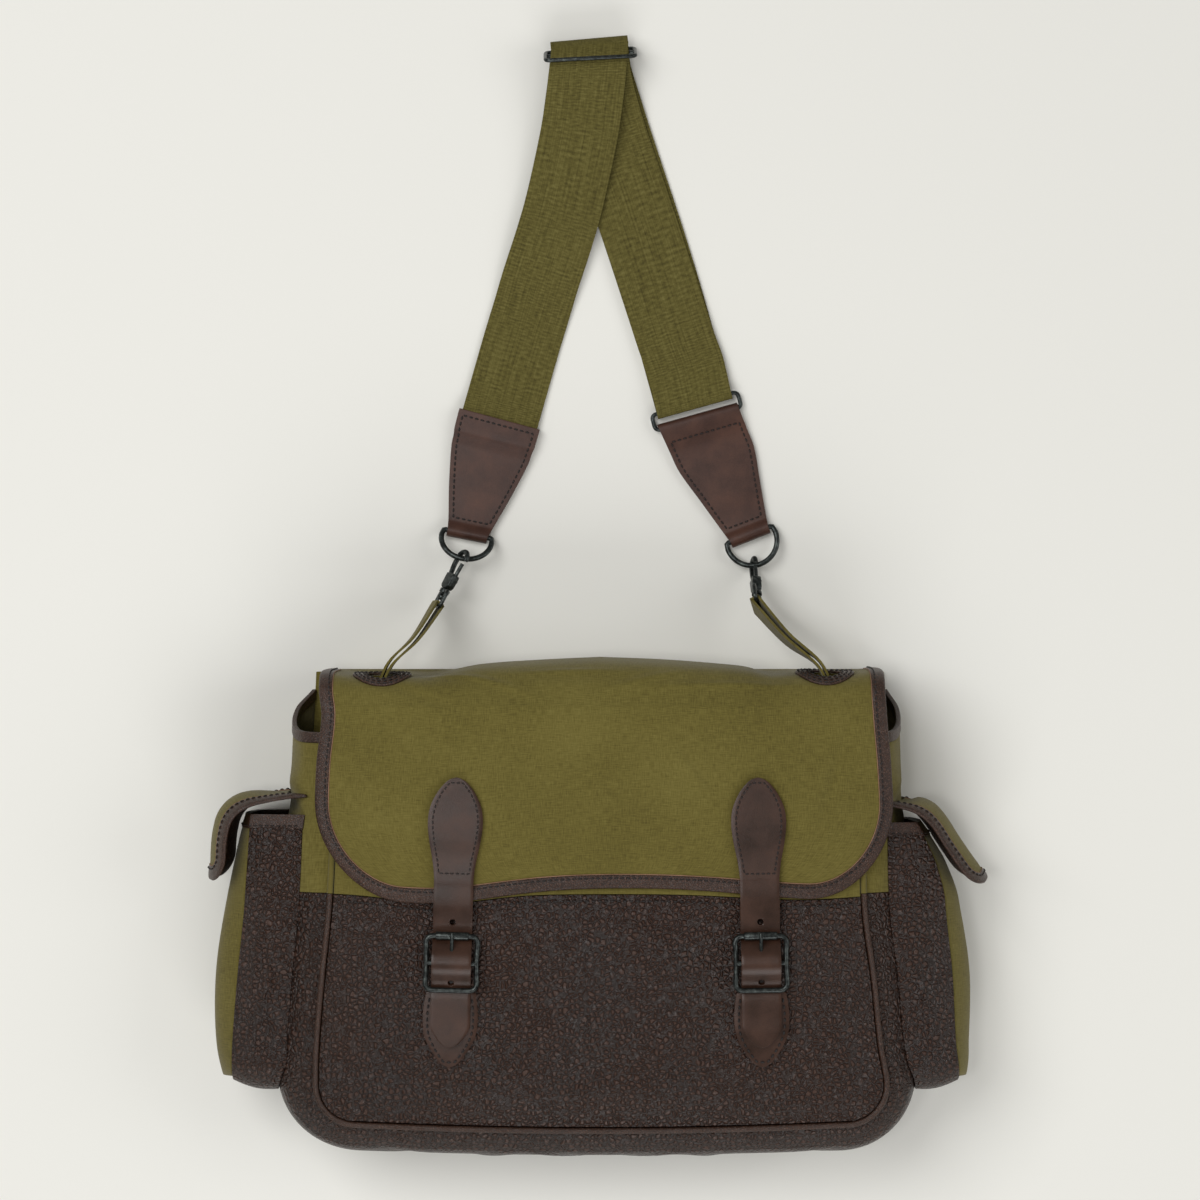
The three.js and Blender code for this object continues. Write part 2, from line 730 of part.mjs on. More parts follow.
// Lids: the bag's flap and the pockets' flaps. Half widths, straight sides and round corners at the free end.
const flapSides = [
  { down: 0, left: 0.985, right: 1 },
  { down: 0.45, left: 0.985, right: 1 },
  { down: 0.53, left: 0.975, right: 1.005 },
  { down: 0.66, left: 0.993, right: 1.02 },
  { down: 0.8, left: 0.998, right: 1.028 },
  { down: 1, left: 0.985, right: 1.02 },
];

const flapLid = {
  surface: (across, along) => flapPoint(across, along),
  length: flapLength,
  corner: flapCorner,
  half: (along, side) => (flapWidth / 2) * between(flapSides, "down", along / flapLength, sideName(side)),
};

function lidHalf(lid, along, side, inset) {
  const centre = lid.length - lid.corner;
  const radius = lid.corner - inset;
  const straight = lid.half(Math.min(along, centre), side) - inset;
  if (along <= centre) return straight;
  const fall = Math.min(along - centre, radius);
  return straight - radius + Math.sqrt(radius * radius - fall * fall);
}

// One face of a lid's canvas inside its binding, at a lift above the outer face.
function lidFace(lid, rows, columns, inset, lift) {
  return rows.map((share) => {
    const along = share * (lid.length - inset);
    return columns.map((column) => {
      const across = column * lidHalf(lid, along, column < 0 ? -1 : 1, inset);
      return raised(lid.surface, across, along, lift);
    });
  });
}

// The binding folded over a lid's edge, from the first to the last place along its sides.
function lidBinding(lid, width, wall, start, sideSteps, cornerSteps, endSteps) {
  const border = [];
  const centre = lid.length - lid.corner;
  for (const side of [-1, 1]) {
    const line = [];
    for (let i = 0; i < sideSteps; i += 1) {
      const along = mix(start, centre, i / sideSteps);
      line.push({ across: side * lid.half(along, side), along, inX: -side, inY: 0 });
    }
    const reach = lid.half(centre, side);
    for (let i = 0; i <= cornerSteps; i += 1) {
      const angle = (Math.PI / 2) * (i / cornerSteps);
      const across = side * (reach - lid.corner * (1 - Math.cos(angle)));
      const along = centre + lid.corner * Math.sin(angle);
      line.push({ across, along, inX: -side * Math.cos(angle), inY: -Math.sin(angle) });
    }
    for (let i = 1; i < endSteps; i += 1) {
      const across = side * (reach - lid.corner) * (1 - i / endSteps);
      line.push({ across, along: lid.length, inX: 0, inY: -1 });
    }
    border.push(line);
  }
  const line = [...border[0], { across: 0, along: lid.length, inX: 0, inY: -1 }, ...border[1].reverse()];
  const place = (at, inwards, lift) => (
    raised(lid.surface, at.across + at.inX * inwards, at.along + at.inY * inwards, lift)
  );
  return loft(line.map((at) => [
    place(at, 0, bindingProud * 0.6),
    place(at, width, bindingProud),
    place(at, width, -wall - bindingProud),
    place(at, 0, -wall - bindingProud * 0.6),
  ]));
}

const flapRowShares = [0, 0.05, 0.15, 0.27, 0.36, 0.42, 0.47, 0.53, 0.61, 0.7, 0.79, 0.87, 0.94, 0.98, 1];
const flapColumnShares = [-1, -0.88, -0.7, -0.52, -0.34, -0.17, 0, 0.17, 0.34, 0.52, 0.7, 0.88, 1];

// An oval on a lid, as a ring or a plug, between two lifts.
function ovalRing(surface, middle, inner, outer, low, high, steps = 18) {
  const rings = Array.from({ length: steps }, (_, i) => {
    const angle = (2 * Math.PI * i) / steps;
    const at = (size, lift) => raised(surface, middle.across + size.width * Math.cos(angle),
      middle.along + size.height * Math.sin(angle), lift);
    return [at(inner, low), at(outer, low), at(outer, high), at(inner, high)];
  });
  return loft(rings, true);
}

function ovalPlug(surface, middle, size, low, high, steps = 18) {
  const face = (lift) => Array.from({ length: steps }, (_, i) => {
    const angle = (2 * Math.PI * i) / steps;
    return raised(surface, middle.across + size.width * Math.cos(angle),
      middle.along + size.height * Math.sin(angle), lift);
  });
  return loft([face(low), face(high)]);
}

const patchMiddle = (side) => ({ across: patchShift + (side * patchSpacing) / 2, along: patchAlong });
const slotSize = { width: slotHalfWidth, height: slotHalfHeight };
const patchSize = { width: patchHalfWidth, height: patchHalfHeight };

const flapInset = bindingWidth + seamGap;
const flapFace = lidFace(flapLid, flapRowShares, flapColumnShares, flapInset, 0);
const flapInner = lidFace(flapLid, flapRowShares, flapColumnShares, flapInset, -canvasWall);
const slotPlugs = [-1, 1].map((side) => {
  const size = { width: slotSize.width + gap, height: slotSize.height + gap };
  return ovalPlug(flapLid.surface, patchMiddle(side), size, -canvasWall - 8, 8);
});
addPiece("flap", cut(gridSolid(flapFace, flapInner), ...slotPlugs), canvasPaint);
addPiece("flap_binding", lidBinding(flapLid, bindingWidth, canvasWall, flapGirth * 0.1, 12, 5, 4), grainPaint);
for (const side of [-1, 1]) {
  const patch = ovalRing(flapLid.surface, patchMiddle(side), slotSize, patchSize, seamGap, seamGap + patchWall);
  addPiece(`flap_patch_${sideName(side)}`, patch, smoothPaint);
}

// Side pockets.
// How the pocket's face bellies out, down from its mouth.
const pocketFill = [
  { down: 0, out: 0.3 },
  { down: 0.15, out: 0.6 },
  { down: 0.4, out: 0.95 },
  { down: 0.62, out: 1 },
  { down: 0.85, out: 0.75 },
  { down: 1, out: 0.35 },
];

// How deep the pocket stands as a share of its depth, down from its mouth.
const pocketStand = [
  { down: 0, left: 0.98, right: 0.56 },
  { down: 0.08, left: 0.98, right: 0.74 },
  { down: 0.16, left: 0.99, right: 0.9 },
  { down: 0.3, left: 1, right: 1.03 },
  { down: 1, left: 1.01, right: 0.92 },
];

// The pocket flap's profile from the bag's side over the mouth and down the face.
// out is a share of the pocket's depth, fall is a share of the flap's whole drop.
const pocketFlapProfile = {
  left: [
    { out: 0.03, fall: 0 },
    { out: 0.33, fall: 0.02 },
    { out: 0.68, fall: 0.07 },
    { out: 0.98, fall: 0.13 },
    { out: 1.18, fall: 0.21 },
    { out: 1.3, fall: 0.32 },
    { out: 1.36, fall: 0.46 },
    { out: 1.39, fall: 0.62 },
    { out: 1.4, fall: 0.8 },
    { out: 1.42, fall: 1 },
  ],
  right: [
    { out: 0.03, fall: 0 },
    { out: 0.36, fall: 0.06 },
    { out: 0.62, fall: 0.15 },
    { out: 0.84, fall: 0.3 },
    { out: 1.04, fall: 0.5 },
    { out: 1.24, fall: 0.69 },
    { out: 1.42, fall: 0.85 },
    { out: 1.58, fall: 1 },
  ],
};
const pocketFlapFall = 57;
const pocketFlapBelly = { left: 12, right: 12 };

for (const side of [-1, 1]) {
  const name = sideName(side);
  const mouth = seamY + (side < 0 ? pocketMouthLeft : pocketMouthRight);
  const bulge = side < 0 ? pocketBulgeLeft : pocketBulgeRight;
  const seat = 0.8;
  const inside = v3(side * (frontWidth / 2 + pocketDepth * 0.6), (mouth + pocketBottom) / 2, bagDepth / 2);
  const stand = (y) => pocketDepth * between(pocketStand, "down", (mouth - y) / (mouth - pocketBottom), name);
  const edgeX = (y) => sideReach(y, pocketFrontZ, side) + stand(y);
  const middleZ = (pocketFrontZ + pocketBackZ) / 2;
  const halfDepth = (pocketFrontZ - pocketBackZ) / 2;
  // The foot of a wall lies clear of the bag's side over its whole thickness.
  const footX = (y, z, wall) => {
    const shift = (wall + 1) * Math.sign(middleZ - z);
    const low = y < pocketBottom + pocketCorner ? wall + 1 : 0;
    return seat + Math.max(...[0, 0.5, 1].map((share) => sideReach(y + share * low, z + share * shift, side)));
  };

  // A U in the plane of the pocket's face: down the front edge, round the bottom, up the back edge.
  const uAround = (inset, topY, sideSteps, cornerSteps) => {
    const radius = pocketCorner - inset;
    const half = halfDepth - inset;
    const points = [];
    const bottom = pocketBottom + inset;
    for (const face of [1, -1]) {
      const line = [];
      for (let i = 0; i < sideSteps; i += 1) {
        line.push({ y: mix(topY, bottom + radius, i / sideSteps), z: middleZ + face * half });
      }
      for (let i = 0; i <= cornerSteps; i += 1) {
        const angle = (Math.PI / 2) * (i / cornerSteps);
        const z = middleZ + face * (half - radius * (1 - Math.cos(angle)));
        line.push({ y: bottom + radius * (1 - Math.sin(angle)), z });
      }
      points.push(line);
    }
    return [...points[0], { y: bottom, z: middleZ }, ...points[1].reverse()];
  };

  const stripTop = mouth - pocketMouthBinding - seamGap;
  const footLine = uAround(0, stripTop, 5, 3);
  const faceLine = uAround(pocketTaper, stripTop, 5, 3);
  const strip = footLine.map((foot, i) => {
    const face = faceLine[i];
    const start = v3(side * footX(foot.y, foot.z, leatherWall), foot.y, foot.z);
    const end = v3(side * edgeX(face.y), face.y, face.z);
    return [0, 0.5, 1].map((share) => {
      const point = start.clone().lerp(end, share);
      const puff = 2.2 * Math.sin(Math.PI * share);
      return point.add(v3(0, (foot.y <= pocketBottom + 4 ? -puff : 0), Math.sign(foot.z - middleZ) * puff));
    });
  });
  addPiece(`pocket_gusset_${name}`, thickSheet(strip, leatherWall, inside), grainPaint);

  // The canvas face, inside the strip's outer edge.
  const faceInset = pocketTaper + leatherWall + gap;
  const faceHalf = (y) => {
    const radius = pocketCorner - faceInset;
    const centre = pocketBottom + pocketCorner;
    const half = halfDepth - faceInset;
    if (y >= centre) return half;
    const fall = Math.min(centre - y, radius);
    return half - radius + Math.sqrt(radius * radius - fall * fall);
  };
  const faceX = (y, share) => {
    const down = (mouth - y) / (mouth - pocketBottom);
    return edgeX(y) + bulge * between(pocketFill, "down", down, "out") * (1 - share * share);
  };
  const faceBottom = pocketBottom + faceInset;
  const faceRows = [0, 0.16, 0.32, 0.48, 0.64, 0.78, 0.88, 0.95, 1];
  const faceColumns = [-1, -0.75, -0.4, 0, 0.4, 0.75, 1];
  const face = faceRows.map((down) => {
    const y = mix(stripTop, faceBottom, down);
    return faceColumns.map((share) => v3(side * faceX(y, share), y, middleZ + share * faceHalf(y)));
  });
  addPiece(`pocket_face_${name}`, thickSheet(face, canvasWall, inside), canvasPaint);

  // The leather binding round the mouth.
  const bindingWall = canvasWall + 2 * bindingProud;
  const mouthRing = (y) => {
    const foot = (z) => v3(side * footX(y, z, bindingWall), y, z);
    const half = halfDepth - pocketTaper;
    const belly = faceColumns.map((share) => v3(side * faceX(y, share), y, middleZ + share * half)).reverse();
    return [foot(pocketFrontZ), foot(pocketFrontZ).lerp(belly[0], 0.5), ...belly,
      foot(pocketBackZ).lerp(belly[belly.length - 1], 0.5), foot(pocketBackZ)];
  };
  const bindingGrid = [0, 0.5, 1].map((down) => mouthRing(mouth - pocketMouthBinding * down));
  addPiece(`pocket_binding_${name}`, thickSheet(bindingGrid, bindingWall, inside, bindingProud), grainPaint);

  // The pocket's flap.
  const flapTop = mouth + (side < 0 ? pocketFlapTopLeft : pocketFlapTopRight);
  const profile = new THREE.CatmullRomCurve3(pocketFlapProfile[name].map((row) => (
    v3(row.out * pocketDepth, flapTop - row.fall * pocketFlapFall, 0)
  )));
  const flapMiddleZ = (pocketFlapFrontZ + pocketFlapBackZ) / 2;
  const flapHalfZ = (pocketFlapFrontZ - pocketFlapBackZ) / 2;
  const lid = {
    length: pocketFlapLength,
    corner: pocketFlapCorner,
    half: () => flapHalfZ,
    surface: (across, along) => {
      const share = clamp(along / pocketFlapLength, 0, 1);
      const at = profile.getPointAt(share);
      const ahead = profile.getTangentAt(share);
      const z = flapMiddleZ - side * across;
      const belly = 1 - clamp(Math.abs(across) / flapHalfZ, 0, 1) ** 2;
      const swell = pocketFlapBelly[name] * belly * smooth(share, 0, side < 0 ? 0.6 : 0.35);
      const free = smooth(share, 0, 0.3);
      const root = mix(sideReach(at.y, z, side) + seat, sideReach(flapTop, pocketFrontZ, side) + seat, free);
      const past = along - pocketFlapLength * share;
      const x = root + at.x - ahead.y * swell + ahead.x * past;
      return v3(side * x, at.y + ahead.x * swell + ahead.y * past, z);
    },
  };
  const inset = pocketFlapBinding + seamGap;
  const lidRows = [0, 0.12, 0.26, 0.38, 0.5, 0.62, 0.75, 0.88, 0.95, 1];
  const lidColumns = [-1, -0.6, -0.2, 0.2, 0.6, 1];
  const lidOuter = lidFace(lid, lidRows, lidColumns, inset, 0);
  const lidInner = lidFace(lid, lidRows, lidColumns, inset, -canvasWall);
  addPiece(`pocket_flap_${name}`, gridSolid(lidOuter, lidInner), canvasPaint);
  const lidEdge = lidBinding(lid, pocketFlapBinding, canvasWall, 1.5, 7, 4, 2);
  addPiece(`pocket_flap_binding_${name}`, lidEdge, grainPaint);
}

// Front fastenings.
// Teardrop: half widths as shares, from the tip.
const teardrop = [
  { along: 0, half: 0.12 },
  { along: 0.06, half: 0.42 },
  { along: 0.16, half: 0.7 },
  { along: 0.3, half: 0.93 },
  { along: 0.45, half: 1 },
  { along: 0.62, half: 0.94 },
  { along: 0.85, half: 0.78 },
  { along: 1, half: 0.715 },
];
const fastenings = [
  { side: -1, lean: 1.6 },
  { side: 1, lean: -1 },
];

for (const { side, lean } of fastenings) {
  const name = sideName(side);
  const middleX = fasteningShift + (side * fasteningSpacing) / 2;
  const slope = Math.tan(degrees(lean));
  const lineX = (y) => middleX + (y - buckleY) * slope;
  const across = v3(Math.cos(degrees(lean)), -Math.sin(degrees(lean)), 0);
  const halfBuckle = buckleLength / 2 - buckleWire;
  const seatOn = (grids, y, width) => Math.max(...[-0.5, -0.25, 0, 0.25, 0.5].map((share) => (
    heightOn(grids, lineX(y) + share * width, y)
  )));
  const onFront = (y) => seatOn([leatherGrid], y, chapeWidth);
  const buckleSpan = [-1.1, -0.7, -0.3, 0, 0.3, 0.7, 1.1];
  const panelZ = Math.max(...buckleSpan.map((share) => onFront(buckleY + share * halfBuckle)));
  const barZ = panelZ + buckleHeight;

  // The strap: over the flap, down to the front, under the roller, over the middle bar, under the far bar.
  const edgeY = flapLid.surface(middleX, flapLength).y;
  const bindingY = edgeY + bindingWidth + 4;
  const onFlap = (y) => {
    const proud = gap + (y < bindingY + 3 ? bindingProud : 0.1);
    return seatOn([flapFace], Math.max(y, bindingY), strapTopWidth) + proud + strapWall / 2;
  };
  const underRoller = barZ - rollerRadius - gap - strapWall / 2;
  const underBar = barZ - buckleWire - gap - strapWall / 2;
  const overBar = barZ + buckleWire + gap + chapeWall + 0.8 + strapWall / 2;
  const onChape = (y) => onFront(y) + 2 * gap + chapeWall + 0.1 + strapWall / 2;
  const route = [];
  const topRows = teardrop.map((row) => strapTopY - row.along * strapTopLength);
  topRows.forEach((y, i) => route.push({ y, z: onFlap(y), width: strapTopWidth * teardrop[i].half }));
  route.push({ y: edgeY + 10, z: onFlap(edgeY + 10), width: strapWidth });
  route.push({ y: edgeY + 2, z: onFlap(edgeY + 2), width: strapWidth });
  route.push({ y: edgeY - 3, z: onFlap(edgeY) - 0.2, width: strapWidth });
  const betweenY = mix(edgeY, buckleY + halfBuckle, 0.55);
  route.push({ y: betweenY, z: mix(onFlap(edgeY), underRoller, 0.55), width: strapWidth });
  route.push({ y: buckleY + halfBuckle + 5, z: underRoller + 0.5, width: strapWidth });
  route.push({ y: buckleY + halfBuckle - 1, z: underRoller, width: strapWidth });
  route.push({ y: buckleY + halfBuckle * 0.62, z: mix(underRoller, overBar, 0.45), width: strapWidth });
  route.push({ y: buckleY + halfBuckle * 0.3, z: mix(underRoller, overBar, 0.88), width: strapWidth });
  route.push({ y: buckleY, z: overBar, width: strapWidth });
  route.push({ y: buckleY - halfBuckle * 0.3, z: mix(underBar, overBar, 0.85), width: strapWidth });
  route.push({ y: buckleY - halfBuckle * 0.65, z: mix(underBar, overBar, 0.35), width: strapWidth });
  route.push({ y: buckleY - halfBuckle, z: underBar, width: strapWidth });
  const pastBar = buckleY - halfBuckle - 6;
  route.push({ y: pastBar, z: Math.max(onChape(pastBar), underBar - 0.6), width: strapWidth });
  const tailStart = buckleY - halfBuckle - 10;
  for (const row of [...teardrop].reverse().slice(2)) {
    const y = mix(strapTipY, tailStart, row.along / teardrop[5].along);
    route.push({ y, z: onChape(y), width: strapWidth * (row.half / teardrop[5].half) });
  }
  const stations = route.map((row) => ({
    centre: v3(lineX(row.y), row.y, row.z),
    across,
    width: row.width,
  }));
  const strap = ribbon(stations, strapWall);
  const holeAt = (y, radius, stretch) => {
    const hole = new THREE.CylinderGeometry(radius, radius, 40, 8);
    hole.rotateX(Math.PI / 2);
    hole.scale(1, stretch, 1);
    hole.translate(lineX(y), y, panelZ + 10);
    return hole;
  };
  const holes = [
    holeAt(buckleY + halfBuckle + 9, strapHoleRadius, 1),
    holeAt(buckleY + halfBuckle * 0.42, prongWire + gap + 0.5, 2.4),
    holeAt(buckleY - halfBuckle * 0.68, strapHoleRadius, 1),
  ];
  addPiece(`buckle_strap_${name}`, cut(strap, ...holes), smoothPaint);

  // The chape: sewn on the front by its teardrop, and folded round the middle bar.
  const wrapRadius = buckleWire + gap + chapeWall / 2;
  const chapeZ = (y) => onFront(y) + gap + 0.1 + chapeWall / 2;
  const chapeRoute = teardrop.map((row) => {
    const y = mix(chapeTipY, buckleY - halfBuckle - 2, row.along);
    return { y, z: chapeZ(y), width: chapeWidth * row.half };
  });
  const waist = chapeWidth * 0.715;
  chapeRoute.push({ y: buckleY - 8, z: chapeZ(buckleY - 8) + 0.3, width: waist });
  for (let i = 0; i <= 6; i += 1) {
    const angle = degrees(-100 + 215 * (i / 6));
    const y = buckleY + wrapRadius * Math.cos(angle);
    chapeRoute.push({ y, z: barZ + wrapRadius * Math.sin(angle), width: waist });
  }
  chapeRoute.push({ y: buckleY - 6.5, z: barZ + 0.4, width: waist });
  const chape = ribbon(chapeRoute.map((row) => ({
    centre: v3(lineX(row.y), row.y, row.z), across, width: row.width,
  })), chapeWall);
  const prongSlot = new THREE.BoxGeometry(2 * (prongWire + gap + 0.4), 10.5, 16);
  prongSlot.translate(lineX(buckleY), buckleY, barZ + 3.2);
  addPiece(`chape_${name}`, cut(chape, prongSlot), smoothPaint);

  // Buckle frame with its middle bar, roller and prong, all round one origin on the middle bar.
  const buckle = new THREE.Group();
  buckle.position.set(lineX(buckleY), buckleY, barZ);
  buckle.rotation.z = -degrees(lean);
  group.add(buckle);
  const outline = roundedOutline(buckleWidth, buckleLength - 2 * buckleWire, 5);
  outline.forEach((point) => point.setX(point.x * (1 - 0.06 * Math.cos((point.y / halfBuckle) * 1.5))));
  const bar = new THREE.CylinderGeometry(buckleWire * 0.9, buckleWire * 0.9, buckleWidth * 0.93, 8);
  bar.rotateZ(Math.PI / 2);
  addPiece(`buckle_frame_${name}`, join(wireRing(outline, buckleWire), bar), steelPaint, buckle);
  const rollerBore = buckleWire + runningGap;
  const rollerProfile = [[rollerBore, -1], [rollerRadius, -1], [rollerRadius, 1], [rollerBore, 1], [rollerBore, -1]]
    .map(([radius, end]) => new THREE.Vector2(radius, (end * rollerLength) / 2));
  const roller = new THREE.LatheGeometry(rollerProfile, 12);
  roller.rotateZ(Math.PI / 2);
  const rollerMesh = addPiece(`roller_${name}`, roller, steelPaint, buckle);
  rollerMesh.position.y = halfBuckle;
  const prongRing = new THREE.TorusGeometry(buckleWire + runningGap + prongWire, prongWire, 5, 9);
  prongRing.rotateY(Math.PI / 2);
  const prongTop = rollerRadius + gap + prongWire;
  const prongPath = [
    v3(0, 1.4, 2.2),
    v3(0, halfBuckle * 0.36, 2.9),
    v3(0, halfBuckle * 0.72, prongTop),
    v3(0, halfBuckle, prongTop + 0.15),
    v3(0, halfBuckle + 1.8, prongTop - 0.3),
  ];
  addPiece(`prong_${name}`, join(prongRing, wireAlong(prongPath, prongWire, 6, 6)), steelPaint, buckle);
}

// Carrying strap.
// The webbing's route, hand picked, in one list: plan place, height and turn of its width.
const webbingRoute = [
  { x: -72.5, y: 294, z: 3.5, turn: -15 },
  { x: -66, y: 318, z: 3.3, turn: -14 },
  { x: -61.5, y: 334, z: 1.9, turn: -15 },
  { x: -52.4, y: 366, z: 1.2, turn: -16 },
  { x: -45.4, y: 389, z: 1.5, turn: -16 },
  { x: -39.4, y: 409, z: 3.4, turn: -17 },
  { x: -30.5, y: 436, z: 5.9, turn: -16 },
  { x: -23.2, y: 462, z: 6.5, turn: -14 },
  { x: -14.2, y: 503, z: 10.2, turn: -9 },
  { x: -10.2, y: 529, z: 15, turn: -4 },
  { x: -8, y: 548, z: 19.3, turn: 2 },
];
const topFold = { x: -6.8, y: 560.5, z: 14.5, radius: 6, turn: 5 };
const lowerRoute = [
  { x: -4.6, y: 546, z: 6.2, turn: 9 },
  { x: 2, y: 524, z: 3.2, turn: 14 },
  { x: 8.6, y: 503, z: 1.5, turn: 17 },
  { x: 20.5, y: 467, z: 1.1, turn: 18 },
  { x: 31, y: 435, z: 1.1, turn: 18 },
  { x: 43, y: 396, z: 1.1, turn: 18 },
  { x: 56, y: 350, z: 1.1, turn: 17 },
];
const ringPlace = { x: 62.3, y: 327, z: 3.8, turn: 15.5 };
const upperRoute = [
  { x: 57.2, y: 350, z: 4.6, turn: 17 },
  { x: 50.4, y: 369, z: 3.5, turn: 18 },
  { x: 41.6, y: 396, z: 3.4, turn: 18 },
  { x: 28.5, y: 436, z: 3.4, turn: 18 },
  { x: 13.6, y: 480, z: 3.6, turn: 17 },
  { x: 5.8, y: 503, z: 4.8, turn: 16 },
  { x: -0.6, y: 524, z: 8.2, turn: 12 },
  { x: -5, y: 543, z: 12.6, turn: 6 },
];
const sliderBar = { x: -6.4, y: 557, z: 14.5, turn: 3 };
const upward = v3(0, 0, 1);

function acrossAt(turn) {
  return v3(Math.cos(degrees(turn)), Math.sin(degrees(turn)), 0);
}

// Stations round a bar: from above it over the far side to below it, or the other way about.
function roundBar(place, radius, towards, from, to, steps) {
  const across = acrossAt(place.turn);
  const away = across.clone().cross(upward).multiplyScalar(-towards);
  return Array.from({ length: steps + 1 }, (_, i) => {
    const angle = degrees(mix(from, to, i / steps));
    const centre = v3(place.x, place.y, place.z).addScaledVector(away, radius * Math.cos(angle));
    return { centre: centre.addScaledVector(upward, radius * Math.sin(angle)), across, width: webbingWidth };
  });
}

const asStations = (route) => route.map((row) => (
  { centre: v3(row.x, row.y, row.z), across: acrossAt(row.turn), width: webbingWidth }
));
const ringTurn = ringWire + gap + webbingWall / 2;
const sliderTurn = sliderWire + gap + webbingWall / 2;
const webbing = ribbon([
  ...asStations(webbingRoute),
  ...roundBar(topFold, topFold.radius, 1, 90, -90, 6),
  ...asStations(lowerRoute),
  ...roundBar(ringPlace, ringTurn, -1, -90, 90, 6),
  ...asStations(upperRoute),
  ...roundBar(sliderBar, sliderTurn, 1, 90, -90, 6),
  { centre: v3(-6.2, 551, 10.9), across: acrossAt(5), width: webbingWidth },
], webbingWall);
addPiece("webbing", webbing, webbingPaint);

// The slider, leaning back round its middle bar.
const sliderLean = 70;
const sliderAcross = acrossAt(sliderBar.turn);
const sliderUp = sliderAcross.clone().cross(upward).multiplyScalar(Math.cos(degrees(sliderLean)))
  .addScaledVector(upward, Math.sin(degrees(sliderLean)));
const sliderMatrix = frameMatrix(v3(sliderBar.x, sliderBar.y, sliderBar.z), sliderAcross, sliderUp);
const sliderMiddle = new THREE.CylinderGeometry(sliderWire * 0.9, sliderWire * 0.9, sliderWidth, 8);
sliderMiddle.rotateZ(Math.PI / 2);
const sliderFrame = wireRing(roundedOutline(sliderWidth, 2 * sliderBarGap, 3), sliderWire, 6);
addPiece("slider", join(sliderFrame, sliderMiddle).applyMatrix4(sliderMatrix), steelPaint);

// The strap's leather ends. top and foot are the bars they hold, or the webbing's end for the left top.
const ends = [
  {
    side: -1,
    top: v3(-66.9, 315.5, 3.4),
    foot: v3(-87.6, 240.8, 4.5),
    taperFrom: 0.3,
    ring: false,
    topTurn: -15,
    dTilt: 37,
    dTurn: -11.3,
    hookArc: 0,
    hookRoll: 55,
    eye: v3(-106.6, 194.4, 22),
    eyeRoll: 78,
    tabPath: [{ x: -120, y: 172, z: 54 }, { x: -135, y: 156, z: 72 }, { x: -142, y: 139, z: 73.5 }],
  },
  {
    side: 1,
    top: v3(65.6, 317.1, 3.8),
    foot: v3(98.9, 240.2, 4.5),
    taperFrom: 0.35,
    ring: true,
    topTurn: 15.5,
    dTilt: 10,
    dTurn: 21.5,
    hookArc: -17,
    hookRoll: 75,
    eye: v3(103.8, 191.2, 33),
    eyeRoll: 100,
    tabPath: [{ x: 121.5, y: 172, z: 57 }, { x: 141, y: 156, z: 72.2 }, { x: 148.5, y: 139, z: 73.5 }],
  },
];

